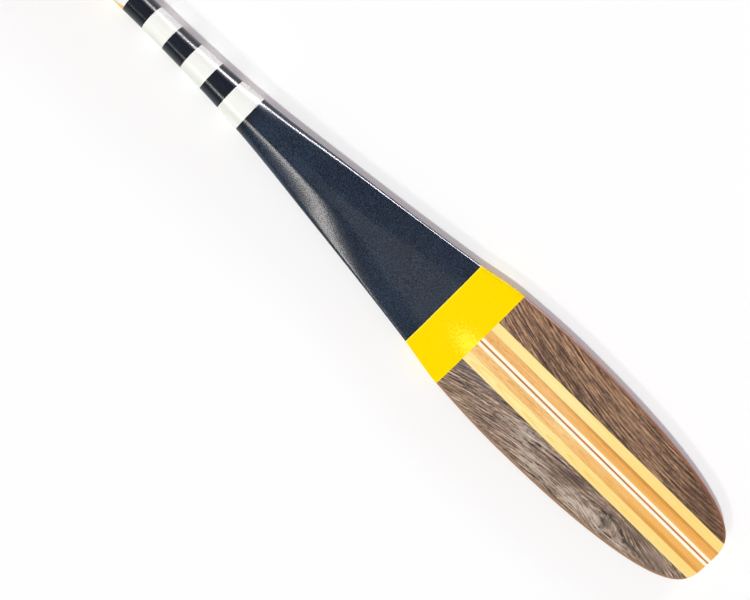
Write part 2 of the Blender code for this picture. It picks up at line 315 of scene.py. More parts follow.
@dataclass(frozen=True)
class Blade:
    """The blade, from its round tip to the round shaft.

    The lengths from tip_length to taper_length run on from one another, and so do flat_length and
    the rises after it. Each width, thickness or edge is the one at the end of its own stretch.

    Attributes:
        blank: The blank that it is carved from.
        basswood_strip: Thickness of the pale strip across the paddle.
        tip_fullness_along: How full the tip's curve is along the paddle.
        tip_fullness_across: How full it is across the paddle.
        tip_steps: How many places the tip is cut at.
        tip_crowding: How much closer together those places are at the very end.
        fan_reach: How far from the tip its first section meets the middle.
        edge_thickness: Thickness of the rounded edge of the flat blade.
        edge_rounding: How far in that edge reaches.
        bevel_width: How far in the bevel reaches.
        bevel_fullness: How full the bevel is, where 1 is straight.
        flat_length: From the tip to where the blade starts to thicken.
        neck_blend: Length over which the section turns into the shaft's oval.
    """

    blank: Blank
    basswood_strip: float = 0.0106
    tip_length: float = 0.240
    width: float = 0.1344
    shoulder_length: float = 0.094
    shoulder_width: float = 0.1254
    flare_length: float = 0.056
    flare_width: float = 0.1070
    throat_length: float = 0.158
    throat_width: float = 0.0652
    neck_length: float = 0.107
    neck_width: float = 0.0404
    runout_length: float = 0.053
    runout_width: float = 0.0332
    taper_length: float = 0.084
    tip_fullness_along: float = 2.2
    tip_fullness_across: float = 3.57
    tip_steps: int = 96
    tip_crowding: float = 1.8
    fan_reach: float = 0.045
    thickness: float = 0.0090
    edge_thickness: float = 0.0046
    edge_rounding: float = 0.0024
    bevel_width: float = 0.0300
    bevel_fullness: float = 2.0
    flat_length: float = 0.300
    root_rise: float = 0.140
    root_thickness: float = 0.0120
    root_edge: float = 0.0050
    throat_rise: float = 0.106
    throat_thickness: float = 0.0235
    throat_edge: float = 0.0056
    throat_rounding: float = 0.0036
    throat_fullness: float = 1.2
    neck_rise: float = 0.109
    neck_thickness: float = 0.0285
    neck_edge: float = 0.0120
    neck_edge_rounding: float = 0.0060
    neck_blend: float = 0.100
    shaft_rise: float = 0.105

    def tip(self) -> RoundedEnd:
        """Make the rounded tip.

        Returns:
            Its outline, up to the blade's widest place.
        """
        return RoundedEnd(
            length=self.tip_length,
            widest=self.width / 2,
            along=self.tip_fullness_along,
            across=self.tip_fullness_across,
            steps=self.tip_steps,
            crowding=self.tip_crowding,
        )

    def half_widths(self) -> Curve:
        """Draw the long sides of the outline, beyond the rounded tip.

        Returns:
            Half the width by distance from the tip.
        """
        return Curve.running(
            (self.tip_length, self.width / 2),
            (
                (self.shoulder_length, self.shoulder_width / 2),
                (self.flare_length, self.flare_width / 2),
                (self.throat_length, self.throat_width / 2),
                (self.neck_length, self.neck_width / 2),
                (self.runout_length, self.runout_width / 2),
                (self.taper_length, self.blank.shaft_width / 2),
            ),
        )

    def half_depths(self) -> Curve:
        """Draw the thickness along the middle.

        Returns:
            Half the thickness there by distance from the tip.
        """
        return Curve.running(
            (self.flat_length, self.thickness / 2),
            (
                (self.root_rise, self.root_thickness / 2),
                (self.throat_rise, self.throat_thickness / 2),
                (self.neck_rise, self.neck_thickness / 2),
                (self.shaft_rise, self.blank.shaft_depth / 2),
            ),
        )

    def shape_ends(self) -> list[float]:
        """Where the flat blade, its root, the throat and the neck end, from the tip."""
        return [distance for distance, _ in self.half_depths().stations[:4]]

    def half_edges(self) -> Curve:
        """Half the thickness of the rounded edge by distance from the tip."""
        sizes = (self.edge_thickness, self.root_edge, self.throat_edge, self.neck_edge)
        return Curve(tuple((end, size / 2) for end, size in zip(self.shape_ends(), sizes)))

    def roundings(self) -> Curve:
        """How far in the rounded edge reaches by distance from the tip."""
        sizes = (self.edge_rounding, self.throat_rounding, self.neck_edge_rounding)
        return Curve(tuple(zip(self.shape_ends()[1:], sizes)))

    def fullnesses(self) -> Curve:
        """How full the bevel is by distance from the tip: 1 is straight, and leaves a ridge."""
        sizes = (self.bevel_fullness, self.throat_fullness)
        return Curve(tuple(zip(self.shape_ends()[1:3], sizes)))

    def flat_shares(self) -> Curve:
        """How much of the section is the blade's by distance from the tip. The rest is oval."""
        neck = self.shape_ends()[3]
        return Curve(((neck - self.neck_blend / 2, 1.0), (neck + self.neck_blend / 2, 0.0)))

    def boards(self, middle: float) -> list[Board]:
        """The blade's own boards.

        Args:
            middle: The distance from the tip beyond which no board of the blade lies.

        Returns:
            The stave, the pale strip and the wing of both sides.
        """
        blank = self.blank
        strip_out = blank.stave_out + self.basswood_strip
        blade_end = Cut((blank.x(middle), 0.0), (-1.0, 0.0))
        made = []
        for side in Side:
            stave = (*glue_faces(side, blank.stave_in, blank.stave_out), scarf(blank, side, -1))
            strip = (*glue_faces(side, blank.stave_out, strip_out), blade_end)
            wing = (*glue_faces(side, strip_out, None), blade_end)
            name = side.suffix()
            made.append(Board(f"blade_stave_{name}", Wood.CHERRY, stave))
            made.append(Board(f"blade_strip_{name}", Wood.BASSWOOD, strip))
            made.append(Board(f"blade_wing_{name}", Wood.BLADE_WALNUT, wing))
        return made


@dataclass(frozen=True)
class BladeSection:
    """The blade's section from its outline in to its middle: rounded edge, bevel and flat.

    The bevel rises from the outline on, over the rounded edge too, so no valley lies between them.

    Attributes:
        bevel_width: How far in the bevel reaches, at most.
        half_edge: Half the rounded edge's thickness by distance from the tip.
        rounding: How far in the rounded edge reaches.
        fullness: How full the bevel is.
        bevel_reach: How much of the way to the middle the bevel takes, at most.
        edge_end: Which share of a quarter's places lies on the rounded edge.
        bevel_end: Which share of them lies there or on the bevel.
    """

    bevel_width: float
    half_edge: Curve
    rounding: Curve
    fullness: Curve
    bevel_reach: float = 0.8
    edge_end: float = 1 / 3
    bevel_end: float = 5 / 6

    def place(
        self, share: float, reach: float, depth: float, from_tip: float
    ) -> tuple[float, float]:
        """A place on a quarter of the section.

        Args:
            share: How far round the quarter, from 0 at the outline to 1 at the middle.
            reach: From the outline to the middle.
            depth: Half the thickness at the middle.
            from_tip: The section's distance from the tip.

        Returns:
            The distance in from the outline, and the height above the middle plane.
        """
        edge = min(self.half_edge(from_tip), depth)
        bevel_in = min(self.bevel_width, self.bevel_reach * reach)
        edge_in = min(self.rounding(from_tip), bevel_in / 2)
        edge_height = edge
        if share <= self.edge_end:
            turn = share / self.edge_end * math.pi / 2
            inward, edge_height = edge_in * (1 - math.cos(turn)), edge * math.sin(turn)
        elif share <= self.bevel_end:
            part = (share - self.edge_end) / (self.bevel_end - self.edge_end)
            inward = edge_in + (bevel_in - edge_in) * part
        else:
            part = (share - self.bevel_end) / (1 - self.bevel_end)
            inward = bevel_in + (reach - bevel_in) * part
        left = max(1 - inward / bevel_in, 0.0)
        return inward, edge_height + (depth - edge) * (1 - left ** self.fullness(from_tip))


@dataclass(frozen=True)
class Grip:
    """The palm grip, from its crown down to the round shaft.

    The lengths run on from one another, and so do crown_length and the three distances. Each width
    or thickness is the one at the end of its own stretch.

    Attributes:
        blank: The blank that it is carved from.
        line: Thickness of the thin dark line across the paddle.
        block: Thickness of the yellow block across the paddle.
        crown_fullness_along: How full the crown's curve is along the paddle.
        crown_fullness_across: How full it is across the paddle.
        crown_steps: How many places the crown is cut at.
        crown_crowding: How much closer together those places are at the very end.
        fan_reach: How far from the grip's end its first section meets the middle.
        squareness: How square the palm's section is, where 2 is an oval.
    """

    blank: Blank
    line: float = 0.0018
    block: float = 0.0112
    crown_length: float = 0.020
    width: float = 0.1070
    corner_length: float = 0.014
    corner_width: float = 0.1016
    palm_length: float = 0.050
    palm_width: float = 0.0512
    neck_length: float = 0.023
    neck_width: float = 0.0380
    runout_length: float = 0.026
    runout_width: float = 0.0324
    taper_length: float = 0.043
    crown_fullness_along: float = 2.1
    crown_fullness_across: float = 3.0
    crown_steps: int = 56
    crown_crowding: float = 1.5
    fan_reach: float = 0.024
    palm_thickness: float = 0.0270
    hollow_distance: float = 0.038
    hollow_thickness: float = 0.0220
    neck_distance: float = 0.050
    neck_thickness: float = 0.0280
    round_distance: float = 0.066
    squareness: float = 2.6

    def crown(self) -> RoundedEnd:
        """Make the rounded crown.

        Returns:
            Its outline, up to the grip's widest place.
        """
        return RoundedEnd(
            length=self.crown_length,
            widest=self.width / 2,
            along=self.crown_fullness_along,
            across=self.crown_fullness_across,
            steps=self.crown_steps,
            crowding=self.crown_crowding,
        )

    def half_widths(self) -> Curve:
        """Draw the long sides of the outline, beyond the crown.

        Returns:
            Half the width by distance from the grip's end.
        """
        return Curve.running(
            (self.crown_length, self.width / 2),
            (
                (self.corner_length, self.corner_width / 2),
                (self.palm_length, self.palm_width / 2),
                (self.neck_length, self.neck_width / 2),
                (self.runout_length, self.runout_width / 2),
                (self.taper_length, self.blank.shaft_width / 2),
            ),
        )

    def half_depths(self) -> Curve:
        """Draw the thickness along the middle.

        Returns:
            Half the thickness there by distance from the grip's end.
        """
        return Curve.running(
            (self.crown_length, self.palm_thickness / 2),
            (
                (self.hollow_distance, self.hollow_thickness / 2),
                (self.neck_distance, self.neck_thickness / 2),
                (self.round_distance, self.blank.shaft_depth / 2),
            ),
        )

    def boards(self, middle: float) -> list[Board]:
        """The grip's own boards.

        Args:
            middle: The distance from the blade's tip before which no board of the grip lies.

        Returns:
            The outer pinstripe, the dark line, the yellow block and the cheek of both sides.
        """
        blank = self.blank
        pinstripe_out = blank.stave_out + blank.pinstripe
        line_out = pinstripe_out + self.line
        block_out = line_out + self.block
        grip_end = Cut((blank.x(middle), 0.0), (1.0, 0.0))
        layers = (
            ("grip_pinstripe", Wood.MAPLE, blank.stave_out, pinstripe_out),
            ("grip_line", Wood.GRIP_LINE, pinstripe_out, line_out),
            ("grip_block", Wood.GRIP_BLOCK, line_out, block_out),
            ("grip_cheek", Wood.GRIP_WALNUT, block_out, None),
        )
        made = []
        for name, wood, inner, outer in layers:
            for side in Side:
                faces = (*glue_faces(side, inner, outer), grip_end)
                made.append(Board(f"{name}_{side.suffix()}", wood, faces))
        return made


@dataclass(frozen=True)
class Core:
    """The boards that run through the shaft.

    Attributes:
        blank: The blank that they are part of.
    """

    blank: Blank

    def boards(self) -> list[Board]:
        """The core's own boards.

        Returns:
            The middle strip, and the pinstripe and the walnut stave of both sides.
        """
        blank = self.blank
        both_faces = glue_faces(Side.LEFT, -blank.pinstripe_in, blank.pinstripe_in)
        made = [Board("center_strip", Wood.CENTER, both_faces)]
        for side in Side:
            stripe = glue_faces(side, blank.pinstripe_in, blank.stave_in)
            stave = (*glue_faces(side, blank.stave_in, blank.stave_out), scarf(blank, side, 1))
            made.append(Board(f"pinstripe_{side.suffix()}", Wood.MAPLE, stripe))
            made.append(Board(f"shaft_stave_{side.suffix()}", Wood.SHAFT_WALNUT, stave))
        return made


def scarf(blank: Blank, side: Side, towards_tip: int) -> Cut:
    """The slanted face where a blade stave and a shaft stave are glued end to end.

    Args:
        blank: The blank that the staves are part of.
        side: Which half the staves are in.
        towards_tip: 1 for the stave that ends there towards the tip, -1 for the other.

    Returns:
        The face of that stave.
    """
    middle = side.value * (blank.stave_in + blank.stave / 2)
    out = (towards_tip * blank.stave, towards_tip * side.value * blank.stave * blank.scarf_ratio)
    return Cut((blank.x(blank.scarf_from_tip), middle), out)


@dataclass(frozen=True)
class PaintPlan:
    """Where each finish starts along the paddle.

    Attributes:
        blank: The blank that is painted.
        bare_blade: Length of varnished blade at the tip.
        yellow_band: Length of the yellow band.
        navy_throat: Length of the painted throat.
        throat_white: Length of each white band above the throat.
        throat_navy: Length of each navy band between those.
        throat_pairs: How many pairs of a white and a navy band there are.
        grip_to_band: From the grip's end to its first band.
        grip_white: Length of each white band below the grip.
        grip_navy: Length of the navy band between them.
    """

    blank: Blank
    bare_blade: float = 0.3336
    yellow_band: float = 0.0528
    navy_throat: float = 0.2682
    throat_white: float = 0.0272
    throat_navy: float = 0.0253
    throat_pairs: int = 3
    grip_to_band: float = 0.1765
    grip_white: float = 0.0275
    grip_navy: float = 0.0238

    def bands(self) -> list[tuple[float, Finish]]:
        """Lay out the finishes from the tip to the grip.

        Returns:
            Pairs of a distance from the tip and the finish that starts there.
        """
        lengths = [
            (Finish.WOOD, self.bare_blade),
            (Finish.YELLOW, self.yellow_band),
            (Finish.NAVY, self.navy_throat),
        ]
        pair = [(Finish.WHITE, self.throat_white), (Finish.NAVY, self.throat_navy)]
        lengths += pair * self.throat_pairs + [(Finish.WHITE, self.throat_white)]
        bands, reached = [], 0.0
        for finish, length in lengths:
            bands.append((reached, finish))
            reached += length
        bands.append((reached, Finish.WOOD))
        reached = self.blank.length - self.grip_to_band - 2 * self.grip_white - self.grip_navy
        last = ((Finish.WHITE, self.grip_white), (Finish.NAVY, self.grip_navy))
        for finish, length in (*last, last[0]):
            bands.append((reached, finish))
            reached += length
        bands.append((reached, Finish.WOOD))
        return bands

    def finish_at(self, from_tip: float) -> Finish:
        """The finish that shows at a distance from the tip."""
        return [finish for start, finish in self.bands() if start <= from_tip][-1]

    def top_ring_start(self) -> float:
        """Where the last white band above the throat starts, from the tip."""
        start = self.bare_blade + self.yellow_band + self.navy_throat
        return start + self.throat_pairs * (self.throat_white + self.throat_navy)


@dataclass
class CarvedForm:
    """The paddle's outer surface, which every board shares.

    It is kept as its upper half: the lower half is its mirror image in the middle plane. Each
    point remembers its smooth normal and how far in from the outline it is, so that boards cut
    from it shade as one surface.

    Attributes:
        blank: The blank that it is carved from.
        blade: The blade's sizes.
        grip: The grip's sizes.
        paint: Where each finish starts.
        quarter_steps: How many steps a section has from the outline to the middle.
        curve_step: Longest step along the shaped parts.
        shaft_step: Longest step along the straight shaft.
        oval: The squareness of a section that is a plain oval.
        place_digits: How many digits of a place tell two points apart.
        waist: How near the middle plane a point lies that is in it.
        mesh: The upper half itself.
    """

    blank: Blank
    blade: Blade
    grip: Grip
    paint: PaintPlan
    quarter_steps: int = 24
    curve_step: float = 0.004
    shaft_step: float = 0.012
    oval: float = 2.0
    place_digits: int = 7
    waist: float = 1e-7
    mesh: bmesh.types.BMesh = field(default_factory=bmesh.new)

    def __post_init__(self) -> None:
        """Work out the curves and build the upper half."""
        blade, grip = self.blade, self.grip
        self.half_widths = (blade.half_widths(), grip.half_widths())
        self.half_depths = (blade.half_depths(), grip.half_depths())
        blade_end, grip_end = (curve.stations[-1][0] for curve in self.half_widths)
        self.straight = (blade_end, self.blank.length - grip_end)
        self.middle = sum(self.straight) / 2
        curves = (blade.half_edges(), blade.roundings(), blade.fullnesses())
        self.blade_section = BladeSection(blade.bevel_width, *curves)
        self.blade_share = blade.flat_shares()
        depths = self.half_depths[1].stations
        hollow, round_end = depths[1][0], depths[-1][0]
        self.grip_squareness = Curve(((hollow, grip.squareness), (round_end, self.oval)))
        self.build()

    def read(self, curves: tuple[Curve, Curve], from_tip: float) -> float:
        """Read one of two curves: the blade's up to the middle, and the grip's beyond it.

        Args:
            curves: The blade's curve by distance from the tip, and the grip's from its own end.
            from_tip: The distance from the tip.

        Returns:
            The value there.
        """
        if from_tip < self.middle:
            return curves[0](from_tip)
        return curves[1](self.blank.length - from_tip)

    def side_distances(self) -> list[float]:
        """Choose where the long sides are cut across.

        Returns:
            The distances from the tip of every band's edge, and of the steps between them.
        """
        first, last = self.blade.tip_length, self.blank.length - self.grip.crown_length
        marks = {start for start, _ in self.paint.bands() if first < start < last}
        marks = sorted(marks | set(self.straight) | {first, last})
        distances = []
        for start, end in zip(marks, marks[1:]):
            on_shaft = start >= self.straight[0] and end <= self.straight[1]
            parts = math.ceil((end - start) / (self.shaft_step if on_shaft else self.curve_step))
            distances += [start + (end - start) * part / parts for part in range(parts)]
        return distances[1:]

    def rays(self) -> list[tuple[float, float, float]]:
        """Lines across the surface, square to the outline on the sides and fanned at the ends.

        Returns:
            For each, its distance from the tip at the outline, half the width there, and its
            distance from the tip where it meets the middle.
        """
        length = self.blank.length
        outline = self.blade.tip().outline()
        for distance in self.side_distances():
            outline.append((distance, self.read(self.half_widths, distance)))
        crown = self.grip.crown().outline()
        outline += [(length - distance, width) for distance, width in reversed(crown)]
        rays = []
        for distance, width in outline:
            if distance < self.middle:
                spine = self.spine(distance, self.blade.fan_reach)
            else:
                spine = length - self.spine(length - distance, self.grip.fan_reach)
            rays.append((distance, width, spine))
        return rays

    @staticmethod
    def spine(distance: float, reach: float) -> float:
        """Where the ray from a place on the outline meets the middle."""
        return distance if distance >= 2 * reach else reach + distance**2 / (4 * reach)

    def ray_points(self, distance: float, width: float, spine: float) -> list[tuple[Vector, float]]:
        """The upper surface along one ray.

        Args:
            distance: The ray's distance from the tip at the outline.
            width: Half the width there.
            spine: The ray's distance from the tip where it meets the middle.

        Returns:
            Pairs of a point and how far in from the outline it is, from the outline in.
        """
        reach = math.hypot(distance - spine, width)
        on_blade = distance < self.middle
        flat_share = self.blade_share(distance) if on_blade else 0.0
        squareness = self.oval
        if not on_blade:
            squareness = self.grip_squareness(self.blank.length - distance)
        points = []
        for step in range(self.quarter_steps + 1):
            share = step / self.quarter_steps
            turn = share * math.pi / 2
            round_in = reach * (1 - max(math.cos(turn), 0.0) ** (2 / squareness))
            flat_in, _ = self.blade_section.place(share, reach, 1.0, distance)
            inward = round_in + (flat_in - round_in) * flat_share
            along = distance + (spine - distance) * inward / reach
            depth = self.read(self.half_depths, along)
            _, flat_height = self.blade_section.place(share, reach, depth, along)
            round_height = depth * math.sin(turn) ** (2 / squareness)
            height = round_height + (flat_height - round_height) * flat_share
            across = 0.0 if step == self.quarter_steps else width * (1 - inward / reach)
            place = Vector((self.blank.x(along), across, self.blank.axis_height + height))
            points.append((place, inward))
        return points

    def build(self) -> None:
        """Build the upper half, with its finishes, normals and distances from the outline."""
        mesh, corners = self.mesh, {}
        inset = mesh.verts.layers.float.new("inset")
        smooth = mesh.verts.layers.float_vector.new("form_normal")

        def corner(place: Vector, inward: float, sign: int) -> bmesh.types.BMVert:
            """Find the vertex at a place, which is made once.

            Args:
                place: The place on the left half.
                inward: How far in from the outline it is.
                sign: 1 for the left half, -1 for the right.

            Returns:
                The vertex.
            """
            point = (place.x, sign * place.y, place.z)
            key = tuple(round(part, self.place_digits) for part in point)
            if key not in corners:
                corners[key] = mesh.verts.new(point)
                corners[key][inset] = inward
            return corners[key]

        rays = self.rays()
        rows = [self.ray_points(*ray) for ray in rays]
        for index, (near, far) in enumerate(zip(rows, rows[1:])):
            finish = self.paint.finish_at((rays[index][0] + rays[index + 1][0]) / 2)
            for side in Side:
                first = [corner(*point, side.value) for point in near]
                second = [corner(*point, side.value) for point in far]
                for step in range(self.quarter_steps):
                    loop = (first[step], first[step + 1], second[step + 1], second[step])
                    loop = list(dict.fromkeys(loop))
                    face = mesh.faces.new(loop if side is Side.LEFT else loop[::-1])
                    face.material_index = finish.value
                    face.smooth = True
        mesh.normal_update()
        for vertex in mesh.verts:
            normal = vertex.normal.copy()
            if abs(vertex.co.z - self.blank.axis_height) < self.waist:
                normal.z = 0.0
            vertex[smooth] = normal.normalized()


@dataclass
class Carver:
    """Cuts boards from the carved form.

    Attributes:
        form: The form that they share.
        tolerance: How near each other two points are that become one.
        wall_tolerance: How near a cut an edge lies that a wall grows from.
    """

    form: CarvedForm
    tolerance: float = 2e-7
    wall_tolerance: float = 2e-6

    def carve(self, board: Board) -> bpy.types.Object:
        """Make one board as a closed mesh.

        Args:
            board: The board, with the faces that it ends at.

        Returns:
            The new object, in the scene, with no material yet.
        """
        mesh = self.form.mesh.copy()
        for cut in board.cuts:
            everything = [*mesh.verts, *mesh.edges, *mesh.faces]
            bmesh.ops.bisect_plane(
                mesh,
                geom=everything,
                dist=self.tolerance,
                plane_co=cut.origin(),
                plane_no=cut.normal(),
                clear_outer=True,
            )
        wall = mesh.faces.layers.int.new("wall")
        for cut in board.cuts:
            self.add_wall(mesh, cut, wall)
        bmesh.ops.remove_doubles(mesh, verts=mesh.verts, dist=self.tolerance)
        self.add_lower_half(mesh)
        return self.finished(board, mesh, wall)

    def add_wall(self, mesh: bmesh.types.BMesh, cut: Cut, wall: bmesh.types.BMLayerItem) -> None:
        """Close a cut from the surface's edge down to the middle plane.

        Args:
            mesh: The board's upper half.
            cut: The face that it ends at.
            wall: The layer that marks a glue face.
        """
        origin, normal, height = cut.origin(), cut.normal(), self.form.blank.axis_height
        for edge in [edge for edge in mesh.edges if len(edge.link_faces) == 1]:
            if edge.link_faces[0][wall]:
                continue
            gaps = [abs((vertex.co - origin).dot(normal)) for vertex in edge.verts]
            if max(gaps) > self.wall_tolerance:
                continue
            first, last = edge.link_loops[0].vert, edge.link_loops[0].link_loop_next.vert
            feet = [mesh.verts.new((end.co.x, end.co.y, height)) for end in (first, last)]
            face = mesh.faces.new((last, first, feet[0], feet[1]))
            face[wall] = 1

    def add_lower_half(self, mesh: bmesh.types.BMesh) -> None:
        """Add the mirror image in the middle plane and weld it on.

        Args:
            mesh: The board's upper half, which becomes the whole board.
        """
        height = self.form.blank.axis_height
        copied = bmesh.ops.duplicate(mesh, geom=[*mesh.verts, *mesh.edges, *mesh.faces])["geom"]
        vertices = [item for item in copied if isinstance(item, bmesh.types.BMVert)]
        faces = [item for item in copied if isinstance(item, bmesh.types.BMFace)]
        for vertex in vertices:
            vertex.co.z = 2 * height - vertex.co.z
        bmesh.ops.reverse_faces(mesh, faces=faces)
        waist = [vertex for vertex in mesh.verts if abs(vertex.co.z - height) < self.tolerance]
        bmesh.ops.remove_doubles(mesh, verts=waist, dist=self.tolerance)

    def finished(
        self, board: Board, mesh: bmesh.types.BMesh, wall: bmesh.types.BMLayerItem
    ) -> bpy.types.Object:
        """Turn the finished mesh into an object that shades as part of the whole form.

        Args:
            board: The board that it is.
            mesh: Its closed mesh, which is freed.
            wall: The layer that marks a glue face.

        Returns:
            The new object.
        """
        height = self.form.blank.axis_height
        smooth = mesh.verts.layers.float_vector["form_normal"]
        normals = []
        for face in mesh.faces:
            for loop in face.loops:
                normal = Vector(loop.vert[smooth])
                # The point of a wall carries no normal of the form, so its length is 0 and not 1.
                if face[wall] or normal.length < 0.5:
                    normal = face.normal.copy()
                elif loop.vert.co.z < height:
                    normal.z = -normal.z
                normals.append(normal.normalized())
        open_edges = sum(len(edge.link_faces) != 2 for edge in mesh.edges)
        if open_edges:
            log.warning("%s has %d open edges", board.node, open_edges)
        data = bpy.data.meshes.new(f"{board.node}_board")
        mesh.to_mesh(data)
        mesh.free()
        data.normals_split_custom_set(normals)
        item = bpy.data.objects.new(f"{board.node}_board", data)
        bpy.context.scene.collection.objects.link(item)
        return item


class Wire:
    """One output of a material's node. Arithmetic on it adds the nodes that it needs."""

    def __init__(self, bench: "Bench", socket: bpy.types.NodeSocket) -> None:
        """Wrap a socket.

        Args:
            bench: The material's bench, which makes the nodes.
            socket: The node's output.
        """
        self.bench = bench
        self.socket = socket

    def joined(self, operation: str, first: Number, second: Number) -> "Wire":
        """Put two sides through a Math node, or a Vector Math node where a side is a vector.

        Args:
            operation: What the node does.
            first: Its first input.
            second: Its second input.

        Returns:
            The result.
        """
        sides = (first, second)
        flat = all(not isinstance(side, Wire) or side.socket.type == "VALUE" for side in sides)
        kind = "ShaderNodeMath" if flat else "ShaderNodeVectorMath"
        return self.bench.node(kind, {"operation": operation}, dict(enumerate(sides)))

    def __add__(self, other: Number) -> "Wire":
        """Sum."""
        return self.joined("ADD", self, other)

    def __radd__(self, other: Number) -> "Wire":
        """Sum."""
        return self.joined("ADD", other, self)

    def __sub__(self, other: Number) -> "Wire":
        """Difference."""
        return self.joined("SUBTRACT", self, other)

    def __rsub__(self, other: Number) -> "Wire":
        """Difference."""
        return self.joined("SUBTRACT", other, self)

    def __mul__(self, other: Number) -> "Wire":
        """Product."""
        return self.joined("MULTIPLY", self, other)

    def __rmul__(self, other: Number) -> "Wire":
        """Product."""
        return self.joined("MULTIPLY", other, self)

    def __truediv__(self, other: Number) -> "Wire":
        """Quotient."""
        return self.joined("DIVIDE", self, other)

    def abs(self) -> "Wire":
        """Distance from zero."""
        return self.bench.node("ShaderNodeMath", {"operation": "ABSOLUTE"}, {0: self})

    def fract(self) -> "Wire":
        """What is left beyond the whole number below."""
        return self.bench.node("ShaderNodeMath", {"operation": "FRACT"}, {0: self})

    def root(self) -> "Wire":
        """Square root."""
        return self.bench.node("ShaderNodeMath", {"operation": "SQRT"}, {0: self})

    def swing(self, amount: float) -> "Wire":
        """Noise that lies about 0 instead of 0.5, and reaches as far as amount each way."""
        return (self - 0.5) * (2 * amount)

    def step(self, low: float, high: float) -> "Wire":
        """A smooth rise, or a fall where high is below low.

        Args:
            low: Where the result is 0.
            high: Where it is 1.

        Returns:
            The result, from 0 to 1.
        """
        settings = {"interpolation_type": "SMOOTHSTEP", "clamp": True}
        ends = {"From Min": low, "From Max": high, "To Min": 0.0, "To Max": 1.0}
        if high < low:
            ends = {"From Min": high, "From Max": low, "To Min": 1.0, "To Max": 0.0}
        return self.bench.node("ShaderNodeMapRange", settings, {"Value": self, **ends})


